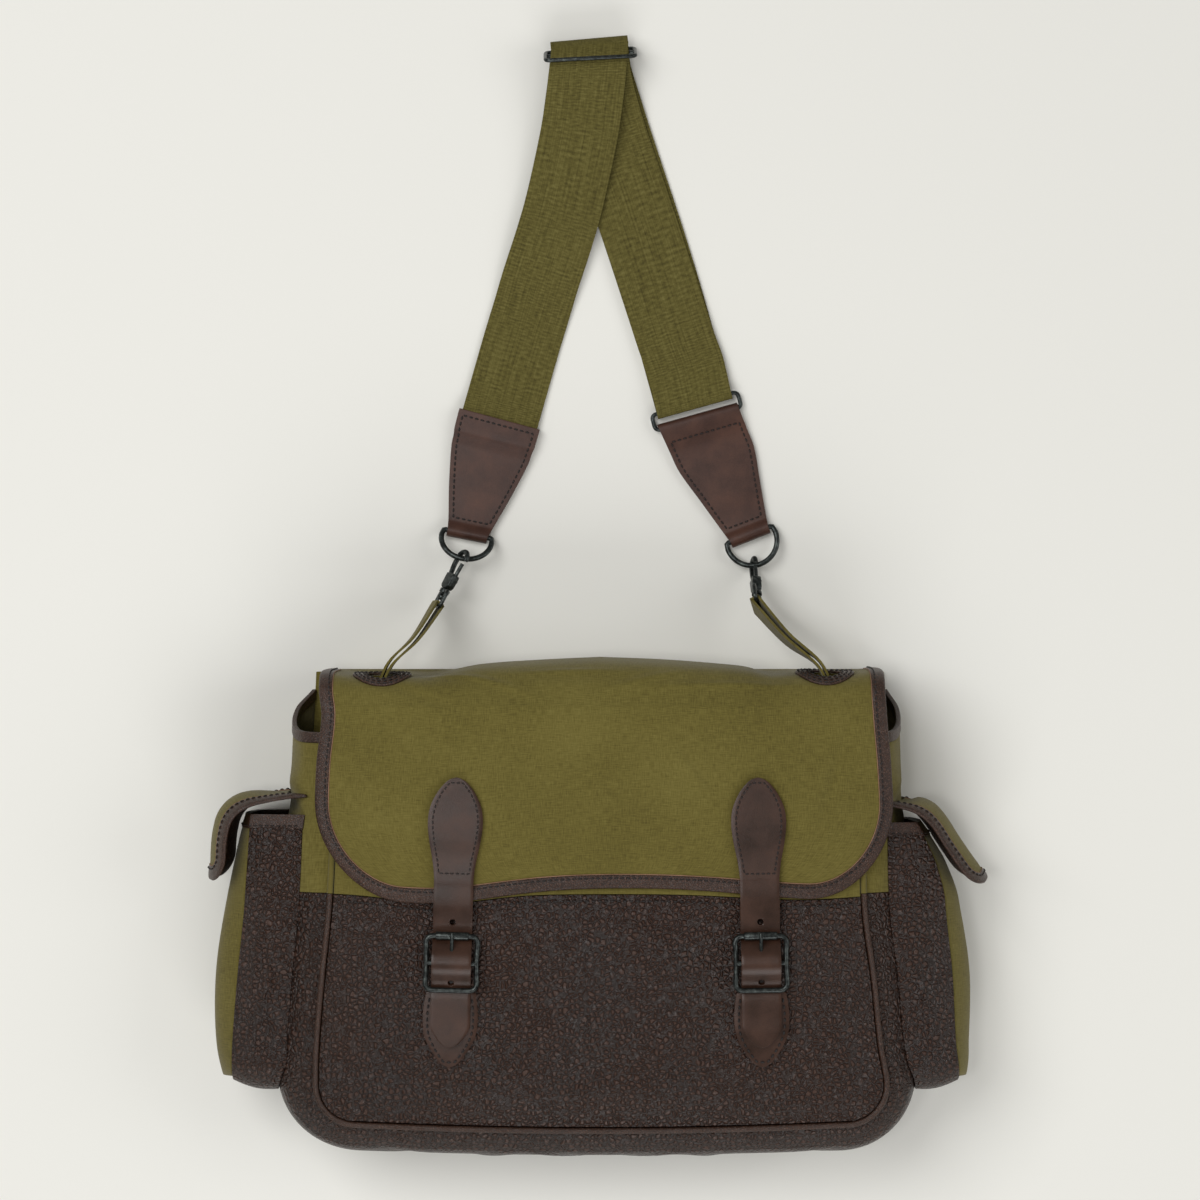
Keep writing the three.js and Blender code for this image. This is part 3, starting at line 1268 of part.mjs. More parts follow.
for (const end of ends) {
  const name = sideName(end.side);
  const along = end.foot.clone().sub(end.top).setZ(0);
  const length = along.length();
  along.normalize();
  const barLoop = dRingWire + runningGap + endLeatherWall;
  const ringLoop = ringWire + runningGap + endLeatherWall;
  const topLoop = end.ring ? ringLoop : webbingWall / 2 + gap + endLeatherWall;
  const flat = endLeatherWall + (end.ring ? 0.15 : 0.4);
  const floorZ = 0.25;
  // Rows down the leather: place from the top bar, half width share, height of its top face.
  const rows = [
    { at: end.ring ? -topLoop : -1.5, half: 1, high: end.ring ? topLoop + 0.6 : 2 * topLoop },
    { at: end.ring ? -topLoop * 0.6 : 2, half: 1, high: end.ring ? 2 * topLoop - 0.6 : 2 * topLoop },
    { at: end.ring ? 0 : length * 0.15, half: 0.99, high: 2 * topLoop },
    { at: length * 0.2, half: 0.97, high: end.ring ? 2 * flat + 0.4 : 2 * topLoop - 0.6 },
    { at: length * end.taperFrom, half: 0.95, high: 2 * flat },
    { at: length * 0.62, half: mix(0.95, endFootWidth / endTopWidth, 0.42), high: 2 * flat },
    { at: length - 7, half: mix(0.95, endFootWidth / endTopWidth, 0.88), high: 2 * flat + 0.3 },
    { at: length - 3, half: mix(0.95, endFootWidth / endTopWidth, 0.95), high: 2 * barLoop - 0.9 },
    { at: length, half: endFootWidth / endTopWidth, high: 2 * barLoop },
    { at: length + barLoop * 0.65, half: endFootWidth / endTopWidth, high: 2 * barLoop - 1.3 },
    { at: length + barLoop, half: endFootWidth / endTopWidth, high: barLoop + 1 },
  ];
  const lastRow = rows.length - 1;
  const rings = rows.map((row, i) => {
    const middle = end.top.clone().addScaledVector(along, row.at).setZ(0);
    const half = (endTopWidth / 2) * row.half;
    const low = i === lastRow || (end.ring && i === 0) ? barLoop - 1 : floorZ;
    const across = acrossAt(mix(end.topTurn, end.dTurn, clamp(row.at / length, 0, 1)));
    return [[-1, low], [1, low], [1, row.high], [-1, row.high]].map(([side, z]) => (
      middle.clone().addScaledVector(across, side * half).setZ(z)
    ));
  });
  const barHole = (place, radius, direction) => {
    const hole = new THREE.CylinderGeometry(radius, radius, 90, 10);
    const turn = new THREE.Quaternion().setFromUnitVectors(v3(0, 1, 0), direction);
    return hole.applyQuaternion(turn).translate(place.x, place.y, place.z);
  };
  const dAcross = acrossAt(end.dTurn);
  const tools = [barHole(end.foot, dRingWire + runningGap, dAcross)];
  if (end.ring) {
    tools.push(barHole(end.top, ringWire + runningGap, acrossAt(ringPlace.turn)));
  } else {
    const tail = asStations(webbingRoute.slice(0, 3)).map((station) => ({ ...station, width: 80 }));
    tail.unshift({ ...tail[0], centre: tail[0].centre.clone().addScaledVector(along, 1.5) });
    tools.push(ribbon(tail, webbingWall + 2 * gap));
  }
  addPiece(`strap_end_${name}`, cut(loft(rings), ...tools), smoothPaint);

  // D-ring: its straight bar through the leather, its bow away from it.
  const dDown = acrossAt(end.dTurn - 90).multiplyScalar(Math.cos(degrees(end.dTilt)))
    .addScaledVector(upward, Math.sin(degrees(end.dTilt)));
  const dRadius = dRingWidth / 2;
  const dCentre = dRingHeight - dRadius;
  const dOutline = [new THREE.Vector2(-dRadius + 2, 0), new THREE.Vector2(-dRadius + 0.6, 0.6)];
  for (let i = 0; i <= 12; i += 1) {
    const angle = Math.PI * (1 - i / 12);
    dOutline.push(new THREE.Vector2(dRadius * Math.cos(angle), dCentre + dRadius * Math.sin(angle)));
  }
  dOutline.push(new THREE.Vector2(dRadius - 0.6, 0.6), new THREE.Vector2(dRadius - 2, 0));
  const dMatrix = frameMatrix(end.foot, dAcross, dDown);
  addPiece(`d_ring_${name}`, wireRing(dOutline, dRingWire).applyMatrix4(dMatrix), steelPaint);

  // The hook hangs on the bow, and its eye holds the tab.
  const arc = degrees(90 + end.hookArc);
  const loopAt = v3(-dRadius * Math.cos(arc), dCentre + dRadius * Math.sin(arc), 0).applyMatrix4(dMatrix);
  const hookAxis = loopAt.clone().sub(end.eye).normalize();
  const level = hookAxis.clone().cross(upward).normalize();
  const rise = level.clone().cross(hookAxis);
  const rolled = (angle) => level.clone().multiplyScalar(Math.cos(degrees(angle)))
    .addScaledVector(rise, Math.sin(degrees(angle)));
  const hookMatrix = frameMatrix(loopAt, rolled(end.hookRoll), hookAxis);
  const bend = hookInner + hookWire;
  const spine = [];
  for (let i = 0; i <= 7; i += 1) {
    const angle = degrees(-14 + 194 * (i / 7));
    spine.push(v3(bend * Math.cos(angle), bend * Math.sin(angle), 0));
  }
  spine.push(v3(-bend, -5, 0), v3(-bend + 0.9, -10, 0), v3(-2.6, -hookBodyTop - 2, 0));
  const bodyShape = new THREE.Shape([
    new THREE.Vector2(-hookBodyWidth / 2 - 0.3, -hookBodyTop),
    new THREE.Vector2(-hookBodyWidth / 2, -hookBodyTop - hookBodyLength + 2),
    new THREE.Vector2(-hookBodyWidth / 2 + 1.5, -hookBodyTop - hookBodyLength),
    new THREE.Vector2(hookBodyWidth / 2 - 1.5, -hookBodyTop - hookBodyLength),
    new THREE.Vector2(hookBodyWidth / 2 + 0.2, -hookBodyTop - hookBodyLength + 2),
    new THREE.Vector2(hookBodyWidth / 2 + 0.6, -hookBodyTop - 1),
    new THREE.Vector2(hookBodyWidth / 2 - 1, -hookBodyTop),
  ].reverse());
  const body = new THREE.ExtrudeGeometry(bodyShape, { depth: hookBodyThickness, bevelEnabled: false });
  body.translate(0, 0, -hookBodyThickness / 2);
  const bodyFoot = -hookBodyTop - hookBodyLength;
  const postLength = eyeBossHeight + 2 * gap + 2;
  const post = new THREE.CylinderGeometry(swivelRadius, swivelRadius, postLength, 8);
  post.translate(0, bodyFoot - postLength / 2 + 1, 0);
  const headY = bodyFoot - eyeBossHeight - 2 * gap - swivelHead * 0.8;
  const head = new THREE.SphereGeometry(swivelHead, 8, 5);
  head.scale(1, 0.8, 1);
  head.translate(0, headY, 0);
  const gateGap = 0.35;
  const cheek = gateWire + 0.1;
  const slot = new THREE.BoxGeometry(hookBodyWidth, hookBodyLength - 2.5, 2 * (cheek + gateGap));
  slot.translate(hookBodyWidth / 2 - 0.2, -hookBodyTop - (hookBodyLength - 2.5) / 2 + 0.5, 0);
  const pinHole = new THREE.CylinderGeometry(1.25, 1.25, hookBodyThickness + 4, 10);
  pinHole.rotateX(Math.PI / 2);
  pinHole.translate(gatePivotX, -gatePivotY, 0);
  const hook = cut(join(wireAlong(spine, hookWire, 18, 6), body, post, head), slot, pinHole);
  addPiece(`hook_${name}`, hook.applyMatrix4(hookMatrix), steelPaint);

  // The gate, shut against the nose, on its own pin.
  const gateTop = v3(bend * Math.cos(degrees(-14)) - 1.2, -bend * Math.sin(degrees(14)) - hookWire - 0.6, 0);
  const gatePin = new THREE.CylinderGeometry(0.85, 0.85, hookBodyThickness, 10);
  gatePin.rotateX(Math.PI / 2);
  gatePin.translate(gatePivotX, -gatePivotY, 0);
  const gateRoot = new THREE.CylinderGeometry(1.9, 1.9, 2 * cheek, 12);
  gateRoot.rotateX(Math.PI / 2);
  gateRoot.translate(gatePivotX, -gatePivotY, 0);
  const gateArm = wireAlong([v3(gatePivotX, -gatePivotY, 0), v3(gatePivotX + 0.5, -gatePivotY + 6, 0), gateTop],
    gateWire, 4, 8);
  addPiece(`gate_${name}`, join(gateRoot, gatePin, gateArm).applyMatrix4(hookMatrix), steelPaint);

  // The swivel eye: a stirrup with a boss that the hook's post turns in.
  const eyeAcross = rolled(end.eyeRoll);
  const bossY = bodyFoot - gap - eyeBossHeight / 2;
  const eyeMatrix = frameMatrix(loopAt, eyeAcross, hookAxis);
  const eyeRing = wireRing(roundedOutline(eyeWidth, eyeHeight, 2, 2), eyeWire);
  eyeRing.translate(0, bossY - eyeHeight / 2, 0);
  const boss = new THREE.CylinderGeometry(eyeBossRadius, eyeBossRadius, eyeBossHeight, 10);
  boss.translate(0, bossY, 0);
  const bore = new THREE.CylinderGeometry(swivelRadius + runningGap, swivelRadius + runningGap, 20, 10);
  bore.translate(0, bossY, 0);
  addPiece(`eye_${name}`, cut(join(eyeRing, boss), bore).applyMatrix4(eyeMatrix), steelPaint);

  // The canvas tab: a loop through the eye whose two ends go in through the flap's slot.
  const eyeBar = v3(0, bossY - eyeHeight, 0).applyMatrix4(eyeMatrix);
  const tabTurn = eyeWire + gap + tabWall / 2;
  const firstLeg = v3(end.tabPath[0].x, end.tabPath[0].y, end.tabPath[0].z).sub(eyeBar).normalize();
  const sideways = eyeAcross.clone().cross(firstLeg).normalize();
  const squareLeg = sideways.clone().cross(eyeAcross).normalize();
  const legPoints = end.tabPath.map((at) => v3(at.x, at.y, at.z));
  const tabLeg = (face) => legPoints.map((point, i) => {
    const across = eyeAcross.clone().lerp(upward, Math.min(1, (i + 1) / 2)).normalize();
    const before = i === 0 ? eyeBar : legPoints[i - 1];
    const flat = across.clone().cross(point.clone().sub(before)).normalize();
    flat.multiplyScalar(Math.sign(flat.dot(sideways)));
    const centre = point.clone().addScaledVector(flat, face * (tabWall / 2 + mix(0.9, 0.4, i / 2)));
    return { centre, across, width: mix(tabWidth, tabWidth * 0.86, i / 2) };
  });
  const tabBend = Array.from({ length: 7 }, (_, i) => {
    const angle = degrees(-90 + 30 * i);
    const centre = eyeBar.clone().addScaledVector(squareLeg, -tabTurn * Math.cos(angle))
      .addScaledVector(sideways, tabTurn * Math.sin(angle));
    return { centre, across: eyeAcross, width: tabWidth * 0.86 };
  });
  const tab = ribbon([...tabLeg(-1).reverse(), ...tabBend, ...tabLeg(1)], tabWall);
  addPiece(`tab_${name}`, tab, canvasPaint);
}

// The rectangular ring between the webbing and the right leather end.
const rightTop = ends[1].top;
const ringFrom = v3(ringPlace.x, ringPlace.y, ringPlace.z);
const ringAcross = acrossAt(ringPlace.turn);
const ringDown = ringAcross.clone().cross(upward);
const ringMiddle = ringFrom.clone().add(rightTop).multiplyScalar(0.5);
const ringGeometry = wireRing(roundedOutline(ringWidth, ringBarGap, 3), ringWire, 6);
addPiece("strap_ring", ringGeometry.applyMatrix4(frameMatrix(ringMiddle, ringAcross, ringDown)), steelPaint);

export default group;
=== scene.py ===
import json
import math
from functools import lru_cache

import bmesh
import bpy
from mathutils import Matrix, Vector

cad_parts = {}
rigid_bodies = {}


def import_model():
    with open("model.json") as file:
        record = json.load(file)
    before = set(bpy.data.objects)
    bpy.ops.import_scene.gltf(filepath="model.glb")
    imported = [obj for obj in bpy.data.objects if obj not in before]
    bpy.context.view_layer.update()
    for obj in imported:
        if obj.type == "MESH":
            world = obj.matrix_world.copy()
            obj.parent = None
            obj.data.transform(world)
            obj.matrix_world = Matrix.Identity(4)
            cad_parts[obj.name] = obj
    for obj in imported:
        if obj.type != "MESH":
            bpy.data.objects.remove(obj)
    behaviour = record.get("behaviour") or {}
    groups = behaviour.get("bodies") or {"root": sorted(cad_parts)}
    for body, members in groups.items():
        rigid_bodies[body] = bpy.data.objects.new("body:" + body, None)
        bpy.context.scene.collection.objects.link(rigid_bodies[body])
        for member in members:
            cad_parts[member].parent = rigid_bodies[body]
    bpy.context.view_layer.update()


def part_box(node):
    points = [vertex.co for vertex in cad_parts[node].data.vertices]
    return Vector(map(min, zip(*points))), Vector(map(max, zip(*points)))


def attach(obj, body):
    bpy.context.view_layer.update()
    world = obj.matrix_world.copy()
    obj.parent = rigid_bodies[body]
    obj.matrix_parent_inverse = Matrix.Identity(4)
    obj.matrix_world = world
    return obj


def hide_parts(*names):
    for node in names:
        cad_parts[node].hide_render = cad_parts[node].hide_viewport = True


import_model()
mm = 0.001

# What a user would change. Lengths are in millimetres, shares are of the length they follow.
body = {
    "backWidth": 390, "backHeight": 299, "backCorner": 50, "backWall": 2,
    "frontWidth": 366, "frontHeight": 251, "frontSetback": 10.5, "frontCorner": 26, "frontBow": 4,
    "frontCrown": 9, "depth": 90, "leatherHeight": 148, "leatherWall": 2, "canvasWall": 1.5,
    "pipingRadius": 2, "bulgeLeft": 22, "bulgeRight": 17, "bulgeBottom": 17,
    "trimHeight": 7, "mouthRise": 26, "gap": 0.3, "seamGap": 0.7,
}
flap = {
    "width": 366, "corner": 56, "aboveSeam": 4.5, "lift": 1.5, "topBulge": 8.7, "topRun": 21, "girth": 118,
    "bindingWidth": 9, "bindingWall": 3.1, "patchSpacing": 285, "patchShift": 2.2, "patchAlong": 80,
    "patchHalfWidth": 19, "patchHalfHeight": 21, "slotHalfWidth": 10.5, "slotHalfHeight": 12.6,
    "patchWall": 1.8,
}
pocket = {
    "depth": 36.5, "mouthLeft": 50, "mouthRight": 45, "aboveBack": 29.5, "frontZ": 78, "backZ": 12,
    "taper": 6, "corner": 22, "bulgeLeft": 16, "bulgeRight": 13, "bindingWidth": 9, "flapLength": 96,
    "seat": 0.8,
    "flapFrontZ": 81, "flapBackZ": 10, "flapCorner": 18, "flapBindingLeft": 10, "flapBindingRight": 8,
    "flapAboveMouth": 13, "flapFall": 57, "flapBelly": 12,
}
fastening = {
    "spacing": 197, "shift": 4, "strapWidth": 25, "strapWall": 2.5, "topWidth": 35, "topLength": 64,
    "tipDrop": 97, "buckleDrop": 43, "buckleLength": 38, "buckleWidth": 34, "buckleWire": 1.7,
    "buckleWaist": 0.07, "buckleCorner": 5, "rollerRadius": 2.6, "rollerLength": 21, "chapeWidth": 35,
    "chapeWaist": 25, "chapeWall": 1.8,
    "chapeTipDrop": 110, "prongWire": 1.1, "holeRadius": 2,
}
carrying = {
    "webbingWidth": 51, "webbingWall": 1.8, "endTopWidth": 55, "endFootWidth": 27, "endWall": 2,
    "dRingWidth": 33.6, "dRingHeight": 21, "dRingWire": 1.8, "ringGap": 10.6, "ringWidth": 59,
    "ringWire": 1.4, "sliderGap": 12, "sliderWidth": 59, "sliderWire": 1.4, "sliderLean": 70,
    "tabWidth": 18, "tabWall": 1.5,
}
hook = {
    "inner": 3.1, "wire": 1.7, "bodyTop": 12, "bodyLength": 11, "bodyWidth": 8, "bodyThickness": 5.8,
    "gateWire": 1.3, "gatePivotX": 2.6, "gatePivotY": 16, "eyeWidth": 20.5, "eyeHeight": 11,
    "eyeWire": 1.3, "bossRadius": 3.4, "bossHeight": 3, "swivelRadius": 1.5, "headRadius": 2.9,
}
stitching = {"pitch": 3.8, "length": 2.6, "thread": 0.5}
view = {"height": 2500, "middleY": 197, "lens": 113, "sensor": 36}

backBottom = -body["backHeight"] / 2
backTop = body["backHeight"] / 2
frontBottom = backBottom + body["frontSetback"]
mouthY = frontBottom + body["frontHeight"]
seamY = frontBottom + body["leatherHeight"]
pipingZ = body["depth"] - body["pipingRadius"] + 0.5
gussetTopZ = pipingZ - body["pipingRadius"] - body["gap"]
gussetFootZ = body["backWall"] + body["gap"]
wrapEndY = backTop - flap["topRun"]
flapFlat = wrapEndY - (seamY + flap["aboveSeam"])
flapLength = flap["girth"] + flapFlat
flapStart = body["canvasWall"] + body["gap"]
pocketBottom = backBottom + pocket["aboveBack"]
buckleY = seamY - fastening["buckleDrop"]
upward = Vector((0, 0, 1))

# Sections, folds and outlines, a row for each. Keys are shares of the length they follow.
frontSides = [
    {"down": 0, "left": 0.92, "right": 0.92},
    {"down": 0.43, "left": 0.946, "right": 0.924},
    {"down": 0.63, "left": 0.973, "right": 0.958},
    {"down": 0.8, "left": 0.992, "right": 0.982},
    {"down": 0.89, "left": 0.995, "right": 1.003},
    {"down": 1, "left": 0.995, "right": 1.003},
]
backSides = [
    {"down": 0, "left": 0.965, "right": 0.965},
    {"down": 0.3, "left": 0.985, "right": 0.985},
    {"down": 0.7, "left": 1, "right": 1},
    {"down": 1, "left": 1, "right": 1},
]
gussetSection = [
    {"back": 0, "out": 0.06},
    {"back": 0.04, "out": 0.45},
    {"back": 0.13, "out": 0.9},
    {"back": 0.4, "out": 1},
    {"back": 0.75, "out": 0.68},
    {"back": 1, "out": 0.05},
]
gussetFolds = [
    {"across": 0.35, "along": 0.31, "long": 0.3, "wide": 0.014, "high": -1.6, "turn": 8},
    {"across": 0.45, "along": 0.37, "long": 0.35, "wide": 0.012, "high": 1.4, "turn": -6},
    {"across": 0.4, "along": 0.62, "long": 0.3, "wide": 0.013, "high": 1.3, "turn": 5},
    {"across": 0.5, "along": 0.69, "long": 0.3, "wide": 0.014, "high": -1.5, "turn": -8},
    {"across": 0.2, "along": 0.45, "long": 0.3, "wide": 0.01, "high": 0.8, "turn": 12},
    {"across": 0.25, "along": 0.55, "long": 0.3, "wide": 0.01, "high": 0.8, "turn": -12},
]
sideFolds = [
    {"across": 0.3, "along": 0.55, "long": 0.25, "wide": 0.07, "high": -2.2, "turn": 10},
    {"across": 0.25, "along": 0.72, "long": 0.25, "wide": 0.07, "high": 2, "turn": -8},
    {"across": 0.6, "along": 0.4, "long": 0.3, "wide": 0.09, "high": 1.8, "turn": 5},
]
frontFolds = [
    {"across": 0.3, "along": 0.48, "long": 0.32, "wide": 0.11, "high": -2.4, "turn": 20},
    {"across": 0.7, "along": 0.56, "long": 0.24, "wide": 0.12, "high": 2, "turn": -40},
    {"across": 0.1, "along": 0.77, "long": 0.3, "wide": 0.12, "high": -1.6, "turn": 8},
    {"across": -0.3, "along": 0.7, "long": 0.24, "wide": 0.12, "high": -1.8, "turn": 40},
    {"across": -0.74, "along": 0.6, "long": 0.2, "wide": 0.12, "high": 1.6, "turn": 70},
    {"across": 0.62, "along": 0.84, "long": 0.26, "wide": 0.1, "high": -1.6, "turn": -14},
]
frontCreases = [
    {"across": 0.3, "along": 0.5, "long": 0.2, "wide": 0.022, "high": 0.8, "turn": 28},
    {"across": 0.36, "along": 0.56, "long": 0.18, "wide": 0.022, "high": -0.8, "turn": 24},
    {"across": 0.72, "along": 0.5, "long": 0.14, "wide": 0.02, "high": 0.9, "turn": -48},
    {"across": 0.8, "along": 0.55, "long": 0.16, "wide": 0.022, "high": -0.9, "turn": -55},
    {"across": 0.66, "along": 0.62, "long": 0.16, "wide": 0.02, "high": 0.7, "turn": -35},
    {"across": 0.47, "along": 0.66, "long": 0.12, "wide": 0.02, "high": 0.7, "turn": -16},
    {"across": 0.42, "along": 0.72, "long": 0.14, "wide": 0.022, "high": -0.7, "turn": -12},
    {"across": 0.1, "along": 0.78, "long": 0.2, "wide": 0.022, "high": 0.7, "turn": 6},
    {"across": 0.0, "along": 0.84, "long": 0.24, "wide": 0.022, "high": -0.6, "turn": 10},
    {"across": -0.4, "along": 0.66, "long": 0.16, "wide": 0.02, "high": 0.6, "turn": 46},
    {"across": -0.8, "along": 0.72, "long": 0.2, "wide": 0.018, "high": 0.7, "turn": 84},
    {"across": 0.86, "along": 0.78, "long": 0.2, "wide": 0.02, "high": 0.7, "turn": 96},
]
seamDips = [
    {"across": -0.56, "deep": -6, "wide": 0.22},
    {"across": 0.7, "deep": -3.5, "wide": 0.3},
]
flapDips = [
    {"across": -0.6, "deep": -10, "wide": 0.33},
    {"across": 0.8, "deep": -7.5, "wide": 0.38},
]
flapWrap = [
    {"along": 0, "out": 0, "run": 0, "up": 0.012},
    {"along": 0.05, "out": 0.5, "run": 0, "up": 0.07},
    {"along": 0.18, "out": 0.82, "run": 0, "up": 0.22},
    {"along": 0.4, "out": 1, "run": 0, "up": 0.46},
    {"along": 0.61, "out": 0.88, "run": 0.02, "up": 0.7},
    {"along": 0.757, "out": 0.62, "run": 0.12, "up": 0.86},
    {"along": 0.867, "out": 0.3, "run": 0.42, "up": 0.955},
    {"along": 1, "out": 0, "run": 1, "up": 1},
]
flapTopLine = [
    {"across": 0, "left": 1, "right": 1},
    {"across": 0.22, "left": 0.78, "right": 0.82},
    {"across": 0.42, "left": 0.47, "right": 0.5},
    {"across": 0.52, "left": 0.05, "right": 0.26},
    {"across": 0.6, "left": -0.4, "right": -0.2},
    {"across": 0.7, "left": -0.35, "right": -0.12},
    {"across": 0.85, "left": -0.35, "right": -0.2},
    {"across": 0.95, "left": -0.05, "right": 0.06},
    {"across": 1, "left": 0, "right": 0.1},
]
flapSides = [
    {"down": 0, "left": 0.985, "right": 1},
    {"down": 0.45, "left": 0.985, "right": 1},
    {"down": 0.53, "left": 0.975, "right": 1.005},
    {"down": 0.66, "left": 0.993, "right": 1.02},
    {"down": 0.8, "left": 0.998, "right": 1.028},
    {"down": 1, "left": 0.985, "right": 1.02},
]
flapFolds = [
    {"across": -0.3, "along": 0.52, "long": 0.24, "wide": 0.05, "high": 1.6, "turn": 8},
    {"across": 0.46, "along": 0.51, "long": 0.26, "wide": 0.05, "high": 1.4, "turn": -6},
    {"across": -0.78, "along": 0.68, "long": 0.18, "wide": 0.09, "high": 1.8, "turn": 60},
    {"across": 0.72, "along": 0.72, "long": 0.2, "wide": 0.09, "high": 1.6, "turn": -50},
    {"across": -0.1, "along": 0.86, "long": 0.3, "wide": 0.08, "high": 1.2, "turn": 10},
]
flapCreases = [
    {"across": -0.4, "along": 0.425, "long": 0.16, "wide": 0.012, "high": 0.9, "turn": 16},
    {"across": -0.1, "along": 0.4, "long": 0.16, "wide": 0.012, "high": 0.8, "turn": 0},
    {"across": 0.14, "along": 0.43, "long": 0.12, "wide": 0.012, "high": 0.8, "turn": -14},
    {"across": 0.42, "along": 0.44, "long": 0.22, "wide": 0.012, "high": 0.9, "turn": -2},
    {"across": -0.62, "along": 0.47, "long": 0.16, "wide": 0.02, "high": -0.8, "turn": 20},
    {"across": 0.3, "along": 0.66, "long": 0.08, "wide": 0.018, "high": 0.7, "turn": 38},
    {"across": 0.37, "along": 0.7, "long": 0.07, "wide": 0.016, "high": -0.7, "turn": 40},
    {"across": 0.7, "along": 0.6, "long": 0.12, "wide": 0.02, "high": 0.7, "turn": -58},
    {"across": 0.82, "along": 0.68, "long": 0.14, "wide": 0.02, "high": -0.7, "turn": -70},
    {"across": -0.72, "along": 0.8, "long": 0.12, "wide": 0.025, "high": 0.7, "turn": 52},
    {"across": -0.3, "along": 0.9, "long": 0.14, "wide": 0.02, "high": 0.6, "turn": 70},
]
pocketFill = [
    {"down": 0, "out": 0.3},
    {"down": 0.15, "out": 0.6},
    {"down": 0.4, "out": 0.95},
    {"down": 0.62, "out": 1},
    {"down": 0.85, "out": 0.75},
    {"down": 1, "out": 0.35},
]
pocketStand = [
    {"down": 0, "left": 0.98, "right": 0.56},
    {"down": 0.08, "left": 0.98, "right": 0.74},
    {"down": 0.16, "left": 0.99, "right": 0.9},
    {"down": 0.3, "left": 1, "right": 1.03},
    {"down": 1, "left": 1.01, "right": 0.92},
]
pocketFolds = [
    {"across": 0.6, "along": 0.3, "long": 0.22, "wide": 0.03, "high": 1.1, "turn": 60},
    {"across": 0.4, "along": 0.52, "long": 0.2, "wide": 0.03, "high": -1.1, "turn": 50},
    {"across": 0.5, "along": 0.6, "long": 0.2, "wide": 0.025, "high": 1, "turn": 55},
]
pocketFlapProfile = {
    "left": [(0.03, 0), (0.33, 0.02), (0.68, 0.07), (0.98, 0.13), (1.18, 0.21), (1.3, 0.32), (1.36, 0.46),
             (1.39, 0.62), (1.4, 0.8), (1.42, 1)],
    "right": [(0.03, 0), (0.36, 0.06), (0.62, 0.15), (0.84, 0.3), (1.04, 0.5), (1.24, 0.69), (1.42, 0.85),
              (1.58, 1)],
}
pocketFlapForm = {
    "left": {"round": 2, "full": 0.6},
    "right": {"round": 2, "full": 0.35},
}
teardrop = [
    {"along": 0, "half": 0.0},
    {"along": 0.015, "half": 0.2},
    {"along": 0.06, "half": 0.42},
    {"along": 0.16, "half": 0.7},
    {"along": 0.3, "half": 0.93},
    {"along": 0.45, "half": 1},
    {"along": 0.62, "half": 0.94},
    {"along": 0.85, "half": 0.78},
    {"along": 1, "half": 0.715},
]
chapeShape = [
    {"along": 0, "half": 0.0},
    {"along": 0.015, "half": 0.12},
    {"along": 0.06, "half": 0.32},
    {"along": 0.18, "half": 0.58},
    {"along": 0.3, "half": 0.78},
    {"along": 0.45, "half": 0.95},
    {"along": 0.62, "half": 1},
    {"along": 0.8, "half": 0.98},
    {"along": 1, "half": 0.9},
]
fastenings = [
    {"side": -1, "lean": 1.6, "topRise": 75},
    {"side": 1, "lean": -1, "topRise": 75},
]

# The webbing's route as it was laid out.
webbingRoute = [
    {"x": -72.5, "y": 294, "z": 3.5, "turn": -15},
    {"x": -66, "y": 318, "z": 3.3, "turn": -14},
    {"x": -61.5, "y": 334, "z": 1.9, "turn": -15},
    {"x": -52.4, "y": 366, "z": 1.2, "turn": -16},
    {"x": -45.4, "y": 389, "z": 1.5, "turn": -16},
    {"x": -39.4, "y": 409, "z": 3.4, "turn": -17},
    {"x": -30.5, "y": 436, "z": 5.9, "turn": -16},
    {"x": -23.2, "y": 462, "z": 6.5, "turn": -14},
    {"x": -14.2, "y": 503, "z": 10.2, "turn": -9},
    {"x": -10.2, "y": 529, "z": 15, "turn": -4},
    {"x": -8, "y": 548, "z": 19.3, "turn": 2},
]
topFold = {"x": -6.8, "y": 560.5, "z": 14.5, "radius": 6, "turn": 5}
lowerRoute = [
    {"x": -4.6, "y": 546, "z": 6.2, "turn": 9},
    {"x": 2, "y": 524, "z": 3.2, "turn": 14},
    {"x": 8.6, "y": 503, "z": 1.5, "turn": 17},
    {"x": 20.5, "y": 467, "z": 1.1, "turn": 18},
    {"x": 31, "y": 435, "z": 1.1, "turn": 18},
    {"x": 43, "y": 396, "z": 1.1, "turn": 18},
    {"x": 56, "y": 350, "z": 1.1, "turn": 17},
]
ringPlace = {"x": 62.3, "y": 327, "z": 3.8, "turn": 15.5}
upperRoute = [
    {"x": 57.2, "y": 350, "z": 4.6, "turn": 17},
    {"x": 50.4, "y": 369, "z": 3.5, "turn": 18},
    {"x": 41.6, "y": 396, "z": 3.4, "turn": 18},
    {"x": 28.5, "y": 436, "z": 3.4, "turn": 18},
    {"x": 13.6, "y": 480, "z": 3.6, "turn": 17},
    {"x": 5.8, "y": 503, "z": 4.8, "turn": 16},
    {"x": -0.6, "y": 524, "z": 8.2, "turn": 12},
    {"x": -5, "y": 543, "z": 12.6, "turn": 6},
]
sliderBar = {"x": -6.4, "y": 557, "z": 14.5, "turn": 3}
